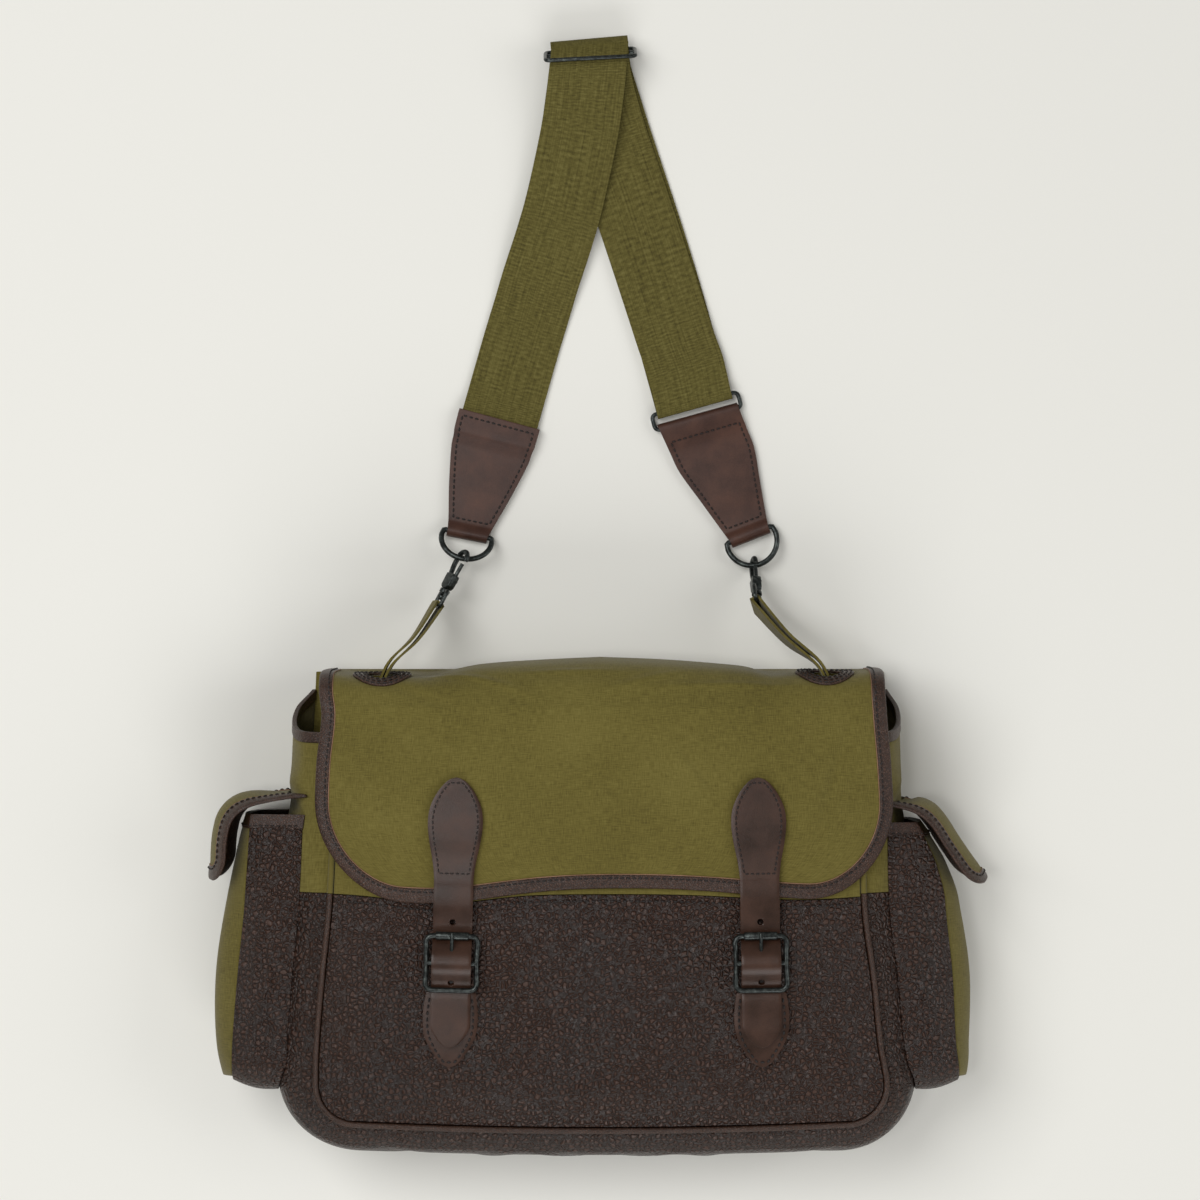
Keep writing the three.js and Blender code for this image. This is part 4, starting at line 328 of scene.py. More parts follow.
ends = [
    {
        "side": -1, "top": (-66.9, 315.5, 3.4), "foot": (-87.6, 240.8, 4.5), "taperFrom": 0.3, "ring": False,
        "topTurn": -15, "dTilt": 37, "dTurn": -11.3, "hookArc": 0, "hookRoll": 55, "eye": (-106.6, 194.4, 22),
        "eyeRoll": 78, "tabPath": [(-120, 172, 54), (-135, 156, 72), (-142, 139, 73.5)],
    },
    {
        "side": 1, "top": (65.6, 317.1, 3.8), "foot": (98.9, 240.2, 4.5), "taperFrom": 0.35, "ring": True,
        "topTurn": 15.5, "dTilt": 10, "dTurn": 21.5, "hookArc": -17, "hookRoll": 75, "eye": (103.8, 191.2, 33),
        "eyeRoll": 100, "tabPath": [(121.5, 172, 57), (141, 156, 72.2), (148.5, 139, 73.5)],
    },
]


# Small sums.
def mix(low, high, share):
    return low + (high - low) * share


def clamp(value, low=0.0, high=1.0):
    return max(low, min(high, value))


def smooth(value, low, high):
    share = clamp((value - low) / (high - low))
    return share * share * (3 - 2 * share)


def sideName(side):
    return "left" if side < 0 else "right"


def between(rows, key, at, column):
    last = len(rows) - 1
    if at <= rows[0][key]:
        return rows[0][column]
    if at >= rows[last][key]:
        return rows[last][column]
    place = next(i for i in range(last) if at <= rows[i + 1][key])

    def slope(i):
        before, after = rows[max(i - 1, 0)], rows[min(i + 1, last)]
        return (after[column] - before[column]) / (after[key] - before[key])

    low, high = rows[place], rows[place + 1]
    span = high[key] - low[key]
    t = (at - low[key]) / span
    rise = slope(place) * span * t * (1 - t) ** 2 - slope(place + 1) * span * t * t * (1 - t)
    return mix(low[column], high[column], t * t * (3 - 2 * t)) + rise


def foldHeight(rows, across, along):
    height = 0.0
    for row in rows:
        turn = math.radians(row["turn"])
        dx = across - row["across"]
        dy = along - row["along"]
        lengthwise = (dx * math.cos(turn) + dy * math.sin(turn)) / row["long"]
        sideways = (dy * math.cos(turn) - dx * math.sin(turn)) / row["wide"]
        height += row["high"] * math.exp(-lengthwise * lengthwise - sideways * sideways)
    return height


def smoothLine(points, steps=10):
    line = []
    last = len(points) - 1
    for i in range(last):
        before, start = points[max(i - 1, 0)], points[i]
        end, after = points[i + 1], points[min(i + 2, last)]
        for n in range(steps):
            t = n / steps
            bend = (2 * before - 5 * start + 4 * end - after) * t * t
            twist = (3 * start - before - 3 * end + after) * t ** 3
            line.append(0.5 * (2 * start + (end - before) * t + bend + twist))
    line.append(points[-1].copy())
    return line


def spaced(line, count):
    lengths = [0.0]
    for start, end in zip(line, line[1:]):
        lengths.append(lengths[-1] + (end - start).length)
    result = []
    place = 0
    for n in range(count):
        at = lengths[-1] * n / (count - 1)
        while place < len(line) - 2 and lengths[place + 1] < at:
            place += 1
        span = max(lengths[place + 1] - lengths[place], 1e-9)
        result.append(line[place].lerp(line[place + 1], clamp((at - lengths[place]) / span)))
    return result


def acrossAt(turn):
    return Vector((math.cos(math.radians(turn)), math.sin(math.radians(turn)), 0))


def frameMatrix(origin, xAxis, yAxis):
    x, y = xAxis.normalized(), yAxis.normalized()
    z = x.cross(y).normalized()
    return Matrix.Translation(origin) @ Matrix((x, y, z)).transposed().to_4x4()


# Materials.
def linear(code):
    channels = [int(code[i:i + 2], 16) / 255 for i in (1, 3, 5)]
    return [c / 12.92 if c <= 0.04045 else ((c + 0.055) / 1.055) ** 2.4 for c in channels] + [1]


def addNode(tree, kind, inputs=None, **settings):
    node = tree.nodes.new(kind)
    for name, value in settings.items():
        setattr(node, name, value)
    for name, value in (inputs or {}).items():
        if isinstance(value, bpy.types.NodeSocket):
            tree.links.new(value, node.inputs[name])
        else:
            node.inputs[name].default_value = value
    return node


def newMaterial(name):
    material = bpy.data.materials.new(name)
    material.use_nodes = True
    tree = material.node_tree
    shader = tree.nodes["Principled BSDF"]
    return material, tree, shader


def ramp(tree, value, stops):
    node = addNode(tree, "ShaderNodeValToRGB", {"Fac": value})
    while len(node.color_ramp.elements) < len(stops):
        node.color_ramp.elements.new(0.5)
    for element, (place, code) in zip(node.color_ramp.elements, stops):
        element.position = place
        element.color = linear(code)
    return node.outputs["Color"]


def sums(tree, operation, first, second):
    inputs = {0: first, 1: second}
    return addNode(tree, "ShaderNodeMath", inputs, operation=operation).outputs[0]


def noise(tree, where, scale, detail=4.0, rough=0.55):
    inputs = {"Vector": where, "Scale": scale, "Detail": detail, "Roughness": rough}
    return addNode(tree, "ShaderNodeTexNoise", inputs).outputs["Fac"]


def stretched(tree, where, scale):
    return addNode(tree, "ShaderNodeMapping", {"Vector": where, "Scale": scale}).outputs["Vector"]


def canvasCloth(name, dark, base, light, threadPitch=0.55):
    material, tree, shader = newMaterial(name)
    cloth = addNode(tree, "ShaderNodeUVMap", uv_map="cloth").outputs["UV"]
    place = addNode(tree, "ShaderNodeTexCoord").outputs["Object"]
    turns = 1 / (threadPitch * mm)
    warp = noise(tree, stretched(tree, cloth, (turns, turns * 0.09, 1)), 1.0, 2.0)
    weft = noise(tree, stretched(tree, cloth, (turns * 0.09, turns, 1)), 1.0, 2.0)
    threads = sums(tree, "ADD", sums(tree, "MULTIPLY", warp, 0.5), sums(tree, "MULTIPLY", weft, 0.5))
    fade = noise(tree, place, 14.0, 3.0)
    slubs = noise(tree, stretched(tree, cloth, (90, 900, 1)), 1.0, 2.0)
    tone = sums(tree, "ADD", sums(tree, "MULTIPLY", threads, 0.74), sums(tree, "MULTIPLY", fade, 0.26))
    tone = sums(tree, "ADD", tone, sums(tree, "MULTIPLY", slubs, 0.12))
    colour = ramp(tree, tone, [(0.36, dark), (0.55, base), (0.76, light)])
    bump = addNode(tree, "ShaderNodeBump", {"Height": threads, "Strength": 0.5, "Distance": 0.0006})
    shader.inputs["Roughness"].default_value = 0.95
    shader.inputs["Specular IOR Level"].default_value = 0.15
    shader.inputs["Sheen Weight"].default_value = 0.12
    shader.inputs["Sheen Roughness"].default_value = 0.5
    tree.links.new(colour, shader.inputs["Base Color"])
    tree.links.new(bump.outputs["Normal"], shader.inputs["Normal"])
    return material


def ribbedWebbing(name, dark, base, light):
    material, tree, shader = newMaterial(name)
    cloth = addNode(tree, "ShaderNodeUVMap", uv_map="cloth").outputs["UV"]
    parts = addNode(tree, "ShaderNodeSeparateXYZ", {"Vector": cloth})
    ribs = sums(tree, "SINE", sums(tree, "MULTIPLY", parts.outputs["Y"], 2 * math.pi / (1.5 * mm)), 0)
    cords = sums(tree, "SINE", sums(tree, "MULTIPLY", parts.outputs["X"], 2 * math.pi / (1.1 * mm)), 0)
    slubs = noise(tree, stretched(tree, cloth, (260, 1300, 1)), 1.0, 3.0)
    lines = noise(tree, stretched(tree, cloth, (900, 40, 1)), 1.0, 2.0)
    weave = sums(tree, "ADD", sums(tree, "MULTIPLY", ribs, 0.5), sums(tree, "MULTIPLY", cords, 0.25))
    tone = sums(tree, "ADD", sums(tree, "MULTIPLY", slubs, 0.6), sums(tree, "MULTIPLY", lines, 0.4))
    tone = sums(tree, "ADD", tone, sums(tree, "MULTIPLY", weave, 0.06))
    colour = ramp(tree, tone, [(0.3, dark), (0.5, base), (0.72, light)])
    bump = addNode(tree, "ShaderNodeBump", {"Height": weave, "Strength": 0.35, "Distance": 0.0004})
    shader.inputs["Roughness"].default_value = 0.9
    shader.inputs["Specular IOR Level"].default_value = 0.2
    tree.links.new(colour, shader.inputs["Base Color"])
    tree.links.new(bump.outputs["Normal"], shader.inputs["Normal"])
    return material


def pebbledLeather(name, shadedCrease, base, litCrown, pebble=2.6, depth=0.0007, shine=0.4, wrinkles=0.0):
    material, tree, shader = newMaterial(name)
    place = addNode(tree, "ShaderNodeTexCoord").outputs["Object"]
    wander = addNode(tree, "ShaderNodeTexNoise", {"Vector": place, "Scale": 160.0, "Detail": 2.0})
    shift = addNode(tree, "ShaderNodeVectorMath", {0: wander.outputs["Color"], 1: (0.5, 0.5, 0.5)},
                    operation="SUBTRACT").outputs[0]
    shift = addNode(tree, "ShaderNodeVectorMath", {0: shift, "Scale": 0.004}, operation="SCALE").outputs[0]
    moved = addNode(tree, "ShaderNodeVectorMath", {0: place, 1: shift}, operation="ADD").outputs[0]
    inputs = {"Vector": moved, "Scale": 1 / (pebble * mm), "Randomness": 0.95}
    cells = addNode(tree, "ShaderNodeTexVoronoi", inputs, feature="DISTANCE_TO_EDGE").outputs["Distance"]
    domes = addNode(tree, "ShaderNodeMapRange", {"Value": cells, "From Max": 0.34},
                    interpolation_type="SMOOTHSTEP").outputs["Result"]
    fine = noise(tree, place, 2200.0, 3.0)
    broad = noise(tree, place, 26.0, 3.0)
    strength = addNode(tree, "ShaderNodeMapRange", {"Value": broad, "From Min": 0.35, "From Max": 0.65,
                                                    "To Min": 0.7, "To Max": 1.0}).outputs["Result"]
    height = sums(tree, "ADD", sums(tree, "MULTIPLY", domes, strength), sums(tree, "MULTIPLY", fine, 0.12))
    creases = noise(tree, stretched(tree, place, (330, 75, 330)), 1.0, 3.0)
    sideways = addNode(tree, "ShaderNodeSeparateXYZ", {"Vector": place}).outputs["X"]
    atLeft = addNode(tree, "ShaderNodeMapRange", {"Value": sideways, "From Min": -0.04, "From Max": -0.13,
                                                  "To Max": wrinkles}).outputs["Result"]
    height = sums(tree, "ADD", height, sums(tree, "MULTIPLY", creases, atLeft))
    # Colour: darker in the crevices between the pebbles, which is painted shade, and lighter on their crowns, which is
    # painted light, mixed with a broad random tone that the leather has itself.
    tone = sums(tree, "ADD", sums(tree, "MULTIPLY", domes, 0.6), sums(tree, "MULTIPLY", broad, 0.4))
    colour = ramp(tree, tone, [(0.15, shadedCrease), (0.55, base), (0.9, litCrown)])
    bump = addNode(tree, "ShaderNodeBump", {"Height": height, "Strength": 0.9, "Distance": depth})
    rough = addNode(tree, "ShaderNodeMapRange", {"Value": fine, "To Min": shine - 0.06, "To Max": shine + 0.1})
    shader.inputs["Specular IOR Level"].default_value = 0.36
    tree.links.new(colour, shader.inputs["Base Color"])
    tree.links.new(rough.outputs["Result"], shader.inputs["Roughness"])
    tree.links.new(bump.outputs["Normal"], shader.inputs["Normal"])
    return material


def smoothLeather(name, dark, base, light, shine=0.42):
    material, tree, shader = newMaterial(name)
    place = addNode(tree, "ShaderNodeTexCoord").outputs["Object"]
    cloudy = noise(tree, place, 60.0, 5.0)
    fibres = noise(tree, place, 1500.0, 4.0)
    tone = sums(tree, "ADD", sums(tree, "MULTIPLY", cloudy, 0.7), sums(tree, "MULTIPLY", fibres, 0.3))
    colour = ramp(tree, tone, [(0.32, dark), (0.5, base), (0.7, light)])
    bump = addNode(tree, "ShaderNodeBump", {"Height": fibres, "Strength": 0.35, "Distance": 0.0002})
    rough = addNode(tree, "ShaderNodeMapRange", {"Value": cloudy, "To Min": shine - 0.08, "To Max": shine + 0.08})
    shader.inputs["Specular IOR Level"].default_value = 0.32
    tree.links.new(colour, shader.inputs["Base Color"])
    tree.links.new(rough.outputs["Result"], shader.inputs["Roughness"])
    tree.links.new(bump.outputs["Normal"], shader.inputs["Normal"])
    return material


def blackenedSteel(name, dark, base, light):
    material, tree, shader = newMaterial(name)
    place = addNode(tree, "ShaderNodeTexCoord").outputs["Object"]
    patches = noise(tree, place, 420.0, 4.0)
    colour = ramp(tree, patches, [(0.3, dark), (0.52, base), (0.75, light)])
    bump = addNode(tree, "ShaderNodeBump", {"Height": patches, "Strength": 0.2, "Distance": 0.0001})
    rough = addNode(tree, "ShaderNodeMapRange", {"Value": patches, "To Min": 0.22, "To Max": 0.42})
    shader.inputs["Metallic"].default_value = 0.75
    tree.links.new(colour, shader.inputs["Base Color"])
    tree.links.new(rough.outputs["Result"], shader.inputs["Roughness"])
    tree.links.new(bump.outputs["Normal"], shader.inputs["Normal"])
    return material


def plainFinish(name, code, roughness):
    material, tree, shader = newMaterial(name)
    place = addNode(tree, "ShaderNodeTexCoord").outputs["Object"]
    mottle = noise(tree, place, 900.0, 3.0)
    shades = [(0.3, code), (0.7, code)]
    tree.links.new(ramp(tree, mottle, shades), shader.inputs["Base Color"])
    shader.inputs["Roughness"].default_value = roughness
    return material


oliveCanvas = canvasCloth("plain woven olive canvas", "#463e1a", "#615829", "#756c39")
weltCanvas = canvasCloth("canvas welt over cord", "#4a421c", "#5f5629", "#736a39")
oliveWebbing = ribbedWebbing("ribbed cotton webbing", "#3d3718", "#585127", "#6f683a")
# In both pebbled leathers the first colour is painted shade for the crevices and the last is painted light on the
# pebble crowns.
grainLeather = pebbledLeather("pebbled dark brown hide", "#1a100b", "#34221a", "#402b21", 3.3, 0.0013, 0.36,
                              1.4)
bindingLeather = pebbledLeather("thin bound leather", "#22150e", "#3d281d", "#4e362a", 1.3, 0.0002, 0.4)
strapLeather = smoothLeather("vegetable tanned strap leather", "#27180f", "#37241b", "#452e23", 0.32)
endLeather = smoothLeather("worn shoulder strap leather", "#311d16", "#422a21", "#523529", 0.4)
cutEdge = smoothLeather("burnished cut edge", "#4a2c1c", "#6a4430", "#85583f", 0.5)
rawEdge = smoothLeather("raw tan edge", "#6a4d38", "#80614a", "#94735c", 0.7)
steel = blackenedSteel("blackened steel", "#1b1d1c", "#343837", "#565c59")
darkThread = plainFinish("waxed brown thread", "#140b07", 0.6)
paleThread = plainFinish("waxed chestnut thread", "#1b0f09", 0.6)
print("materials ready")


# Objects.
def addPiece(name, data, finishes, node=None, rider="bag"):
    piece = bpy.data.objects.new(name, data)
    bpy.context.scene.collection.objects.link(piece)
    for finish in finishes:
        data.materials.append(finish)
    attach(piece, rider)
    if node:
        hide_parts(node)
    return piece


def meshFrom(name, bm):
    bmesh.ops.recalc_face_normals(bm, faces=bm.faces)
    data = bpy.data.meshes.new(name)
    bm.to_mesh(data)
    bm.free()
    data.polygons.foreach_set("use_smooth", [True] * len(data.polygons))
    return data


def thicken(piece, wall, rim=0, soft=0.35):
    solid = piece.modifiers.new("wall", "SOLIDIFY")
    solid.thickness = wall * mm
    solid.offset = -1
    solid.material_offset_rim = rim
    round = piece.modifiers.new("soft edge", "BEVEL")
    round.width = soft * mm
    round.segments = 2
    round.limit_method = "ANGLE"
    round.angle_limit = math.radians(50)


# A sheet made from a grid, each point placed by its shares across and along. The wall goes inwards.
def sheet(name, columns, rows, place, size, wall, finishes, inside, node=None, rim=0):
    bm = bmesh.new()
    bmesh.ops.create_grid(bm, x_segments=columns, y_segments=rows, size=0.5)
    cloth = bm.loops.layers.uv.new("cloth")
    for face in bm.faces:
        for loop in face.loops:
            u, v = loop.vert.co.x + 0.5, loop.vert.co.y + 0.5
            loop[cloth].uv = (u * size[0] * mm, v * size[1] * mm)
    for vert in bm.verts:
        vert.co = place(clamp(vert.co.x + 0.5), clamp(vert.co.y + 0.5)) * mm
    bm.normal_update()
    bm.faces.ensure_lookup_table()
    middle = bm.faces[len(bm.faces) // 2 + columns // 2]
    if middle.normal.dot(middle.calc_center_median() - inside * mm) < 0:
        bmesh.ops.reverse_faces(bm, faces=bm.faces)
    data = bpy.data.meshes.new(name)
    bm.to_mesh(data)
    bm.free()
    data.polygons.foreach_set("use_smooth", [True] * len(data.polygons))
    piece = addPiece(name, data, finishes, node)
    thicken(piece, wall, rim)
    return piece


# A closed skin through rings of points.
def loft(name, rings, finishes, node=None, closed=False, capped=True, rider="bag"):
    bm = bmesh.new()
    loops = [[bm.verts.new(point * mm) for point in ring] for ring in rings]
    count = len(rings[0])
    cloth = bm.loops.layers.uv.new("cloth")
    pairs = list(zip(loops, loops[1:]))
    if closed:
        pairs.append((loops[-1], loops[0]))
    along = 0.0
    for low, high in pairs:
        step = (high[0].co - low[0].co).length
        around = 0.0
        for i in range(count):
            j = (i + 1) % count
            width = (low[j].co - low[i].co).length
            face = bm.faces.new((low[i], low[j], high[j], high[i]))
            places = [(around, along), (around + width, along), (around + width, along + step), (around, along + step)]
            for loop, uv in zip(face.loops, places):
                loop[cloth].uv = uv
            around += width
        along += step
    if capped and not closed:
        bm.faces.new(list(reversed(loops[0])))
        bm.faces.new(loops[-1])
    return addPiece(name, meshFrom(name, bm), finishes, node, rider)


# Round wire along one or more lines of points.
def wire(name, lines, radius, finish, node=None, rider="bag"):
    data = bpy.data.curves.new(name, "CURVE")
    data.dimensions = "3D"
    data.bevel_depth = radius * mm
    data.bevel_resolution = 5
    data.use_fill_caps = True
    for points, closed in lines:
        spline = data.splines.new("POLY")
        spline.points.add(len(points) - 1)
        for target, point in zip(spline.points, points):
            target.co = (*(point * mm), 1)
        spline.use_cyclic_u = closed
        spline.use_smooth = True
    return addPiece(name, data, [finish], node, rider)


# A row of stitches along a line of places with their outward directions.
def stitches(name, line, finish, pitch=None, width=1.0, rider="bag"):
    pitch = pitch or stitching["pitch"]
    places = [point for point, _ in line]
    lengths = [0.0]
    for start, end in zip(places, places[1:]):
        lengths.append(lengths[-1] + (end - start).length)
    count = max(2, int(lengths[-1] / pitch))
    half = pitch * stitching["length"] / stitching["pitch"] / 2
    bm = bmesh.new()

    def at(length):
        i = next((n for n in range(len(lengths) - 2) if lengths[n + 1] >= length), len(lengths) - 2)
        share = clamp((length - lengths[i]) / max(lengths[i + 1] - lengths[i], 1e-9))
        point = places[i].lerp(places[i + 1], share)
        normal = line[i][1].lerp(line[i + 1][1], share).normalized()
        return point, normal, (places[i + 1] - places[i]).normalized()

    radius = stitching["thread"] * width
    for n in range(count):
        centre = lengths[-1] * (n + 0.5) / count
        rings = []
        for step, lift, size in ((-1, -0.2, 0.5), (-0.6, 0.14, 1), (0, 0.24, 1.1), (0.6, 0.14, 1), (1, -0.2, 0.5)):
            point, normal, ahead = at(clamp(centre + step * half, 0, lengths[-1]))
            point = point + ahead * (step * half * 0.001)
            side = ahead.cross(normal).normalized()
            ring = []
            for k in range(5):
                angle = 2 * math.pi * k / 5
                out = side * math.cos(angle) + normal * math.sin(angle)
                ring.append(bm.verts.new((point + normal * lift + out * radius * size) * mm))
            rings.append(ring)
        for low, high in zip(rings, rings[1:]):
            for k in range(5):
                j = (k + 1) % 5
                bm.faces.new((low[k], low[j], high[j], high[k]))
    return addPiece(name, meshFrom(name, bm), [finish], rider=rider)


# The bag's shape.
def frontHalf(y, side):
    return body["frontWidth"] / 2 * between(frontSides, "down", (mouthY - y) / body["frontHeight"], sideName(side))


def backHalf(y, side):
    return body["backWidth"] / 2 * between(backSides, "down", (backTop - y) / body["backHeight"], sideName(side))


frontShape = {"half": frontHalf, "bottom": frontBottom, "corner": body["frontCorner"], "bow": body["frontBow"]}
backShape = {"half": backHalf, "bottom": backBottom, "corner": body["backCorner"], "bow": 0}


def panelHalf(shape, y, side, inset=0.0):
    centreY = shape["bottom"] + shape["corner"]
    radius = shape["corner"] - inset
    if y >= centreY:
        return shape["half"](y, side) - inset
    fall = min(centreY - y, radius)
    return shape["half"](centreY, side) - inset - radius + math.sqrt(radius * radius - fall * fall)


def bowAt(shape, x, side):
    flat = shape["half"](shape["bottom"], side) - shape["corner"]
    return shape["bow"] * max(0.0, 1 - (x / flat) ** 2)


# A place on a panel's U: -1 at the left top, 0 in the middle of the bottom, 1 at the right top.
def outlineAt(shape, topY, t):
    side = -1 if t < 0 else 1
    share = 1 - abs(t)
    centreY = shape["bottom"] + shape["corner"]
    reach = shape["half"](centreY, side)
    if share < 0.33:
        y = mix(topY, centreY, share / 0.33)
        return Vector((side * shape["half"](y, side), y, 0))
    if share < 0.5:
        angle = math.pi / 2 * (share - 0.33) / 0.17
        x = reach - shape["corner"] * (1 - math.cos(angle))
        return Vector((side * x, centreY - shape["corner"] * math.sin(angle), 0))
    x = (reach - shape["corner"]) * (1 - (share - 0.5) / 0.5)
    return Vector((side * x, shape["bottom"] - bowAt(shape, x, side), 0))


def outlineOut(shape, topY, t):
    if abs(t) > 0.67:
        return Vector((math.copysign(1, t), 0, 0))
    step = 0.004
    ahead = outlineAt(shape, topY, t + step) - outlineAt(shape, topY, t - step)
    return Vector((ahead.y, -ahead.x, 0)).normalized()


def bulgeFor(out):
    side = body["bulgeLeft"] if out.x < 0 else body["bulgeRight"]
    return side * out.x * out.x + body["bulgeBottom"] * out.y * out.y


def gussetPoint(t, back):
    front, rear = outlineAt(frontShape, seamY, t), outlineAt(backShape, seamY, t)
    out = (outlineOut(frontShape, seamY, t) + outlineOut(backShape, seamY, t)).normalized()
    spread = between(gussetSection, "back", back, "out")
    fold = foldHeight(gussetFolds, back, (t + 1) / 2) * spread
    point = front.lerp(rear, back) + out * (bulgeFor(out) * spread + fold)
    point.z = mix(gussetTopZ, gussetFootZ, back)
    return point


def mouthHeight(back):
    return mouthY - body["trimHeight"] + body["mouthRise"] * back * back


def sidePoint(side, y, back, along=1.0):
    spread = between(gussetSection, "back", back, "out")
    bulge = body["bulgeLeft"] if side < 0 else body["bulgeRight"]
    fold = foldHeight(sideFolds, back, along) * spread
    reach = mix(frontHalf(y, side), backHalf(y, side), back) + bulge * spread + fold
    return Vector((side * reach, y, mix(gussetTopZ, gussetFootZ, back)))


# How far the side stands out at a place along the bag and a height above the floor.
@lru_cache(maxsize=None)
def sideReach(y, z, side):
    back = (gussetTopZ - z) / (gussetTopZ - gussetFootZ)
    if y >= seamY:
        along = (y - seamY) / (mouthHeight(back) - seamY)
        return abs(sidePoint(side, y, back, along).x)
    low, high = 0.3, 1.0
    for _ in range(22):
        middle = (low + high) / 2
        if gussetPoint(side * middle, back).y > y:
            high = middle
        else:
            low = middle
    return abs(gussetPoint(side * high, back).x)


def frontZ(x, y, creased=True):
    side = -1 if x < 0 else 1
    across = min(abs(x) / frontHalf(y, side), 1)
    filled = 1 - clamp(1 - (y - frontBottom) / 62) ** 3
    emptied = 1 - 0.3 * smooth(y, seamY + 40, mouthY)
    litCrown = body["frontCrown"] * (1 - across ** 4) * filled * emptied
    place = (x / (body["frontWidth"] / 2), (mouthY - y) / body["frontHeight"])
    dents = foldHeight(frontFolds, *place)
    if creased:
        dents += foldHeight(frontCreases, *place)
    return body["depth"] + litCrown + dents * (1 - across ** 6) * min(1, filled * 1.2)


def dipAt(rows, x):
    share = x / (body["frontWidth"] / 2)
    return sum(row["deep"] * math.exp(-((share - row["across"]) / row["wide"]) ** 2) for row in rows)


def flapRest(x, y):
    side = -1 if x < 0 else 1
    past = max(0.0, abs(x) - frontHalf(y, side))
    return frontZ(x, y, False) + flap["lift"] + body["canvasWall"] - past * 0.2


@lru_cache(maxsize=None)
def wrapAt(share):
    return tuple(between(flapWrap, "along", share, column) for column in ("out", "run", "up"))


def flapPoint(across, along):
    place = (across / (flap["width"] / 2), along / flapLength)
    fold = foldHeight(flapFolds, *place) + 1.5 * foldHeight(flapCreases, *place)
    if along >= flap["girth"]:
        stretch = (along - flap["girth"]) / flapFlat
        y = wrapEndY - (flapFlat - dipAt(flapDips, across)) * stretch
        return Vector((across, y, flapRest(across, y) + fold))
    share = max(along, 0) / flap["girth"]
    out, run, up = wrapAt(round(share, 4))
    bulge = flap["topBulge"] * between(flapTopLine, "across", abs(place[0]), sideName(across))
    tilt = math.radians(90) * smooth(share, 0.5, 1)
    y = backTop + flapStart + out * bulge - run * (flap["topRun"] + flapStart) + fold * math.cos(tilt)
    return Vector((across, y, up * flapRest(across, wrapEndY) + fold * math.sin(tilt)))


# A surface's point, and its outward direction, raised along it.
def raised(surface, across, along, lift):
    point, normal = faced(surface, across, along)
    return point + normal * lift


def faced(surface, across, along):
    step = 0.6
    x = surface(across + step, along) - surface(across - step, along)
    y = surface(across, along + step) - surface(across, max(0.0, along - step))
    return surface(across, along), y.cross(x).normalized()


def lidHalf(lid, along, side, inset):
    centre = lid["length"] - lid["corner"]
    radius = lid["corner"] - inset
    straight = lid["half"](min(along, centre), side) - inset
    if along <= centre:
        return straight
    fall = min(along - centre, radius)
    return straight - radius + math.sqrt(max(0.0, radius * radius - fall * fall))


flapLid = {
    "surface": flapPoint,
    "length": flapLength,
    "corner": flap["corner"],
    "half": lambda along, side: flap["width"] / 2 * between(flapSides, "down", along / flapLength, sideName(side)),
}


# Places along a lid's edge from one side round its free end to the other, with the inward direction.
def lidBorder(lid, start, sideSteps, cornerSteps, endSteps):
    halves = []
    centre = lid["length"] - lid["corner"]
    for side in (-1, 1):
        line = []
        for i in range(sideSteps):
            along = mix(start, centre, i / sideSteps)
            line.append((side * lid["half"](along, side), along, -side, 0.0))
        reach = lid["half"](centre, side)
        for i in range(cornerSteps + 1):
            angle = math.pi / 2 * i / cornerSteps
            across = side * (reach - lid["corner"] * (1 - math.cos(angle)))
            along = centre + lid["corner"] * math.sin(angle)
            line.append((across, along, -side * math.cos(angle), -math.sin(angle)))
        for i in range(1, endSteps):
            line.append((side * (reach - lid["corner"]) * (1 - i / endSteps), lid["length"], 0.0, -1.0))
        halves.append(line)
    return halves[0] + [(0.0, lid["length"], 0.0, -1.0)] + halves[1][::-1]


# The binding's section, from its folded edge: share of its width inwards, share of its thickness above and below.
bindingSection = [
    (0.0, 0.0), (0.04, 0.55), (0.14, 0.86), (0.4, 1.0), (0.8, 0.95), (0.97, 0.8), (1.0, 0.45),
    (1.0, -0.45), (0.97, -0.8), (0.8, -0.95), (0.4, -1.0), (0.14, -0.86), (0.04, -0.55),
]


def lidBinding(name, lid, width, thickness, start, steps, finish, node):
    rings = []
    for across, along, inX, inY in lidBorder(lid, start, *steps):
        ring = []
        for inwards, high in bindingSection:
            place = (across + inX * inwards * width, along + inY * inwards * width)
            lift = -body["canvasWall"] / 2 + high * thickness / 2
            ring.append(raised(lid["surface"], *place, lift))
        rings.append(ring)
    return loft(name, rings, [finish], node)


def lidStitches(name, lid, inwards, start, lift, finish, steps=(60, 24, 60)):
    line = []
    for across, along, inX, inY in lidBorder(lid, start, *steps):
        point, normal = faced(lid["surface"], across + inX * inwards, along + inY * inwards)
        line.append((point + normal * lift, normal))
    return stitches(name, line, finish)


def inset(share):
    return share * 2 - 1


# Body pieces.
bodyMiddle = Vector((0, 0, body["depth"] / 2))
farBelow = Vector((0, 0, -1000))
leather, cloth = body["leatherWall"], body["canvasWall"]


def backPlace(u, v):
    down = 1 - (1 - v) ** 1.7
    y = mix(backTop, backBottom, down)
    return Vector((inset(u) * panelHalf(backShape, y, inset(u)), y, 0))


sheet("back_panel_canvas", 40, 60, backPlace, (390, 299), body["backWall"], [oliveCanvas], bodyMiddle, "back_panel")
sheet("gusset_hide", 320, 28, lambda u, v: gussetPoint(inset(u), v), (720, 100), leather,
      [grainLeather], bodyMiddle, "gusset_leather")

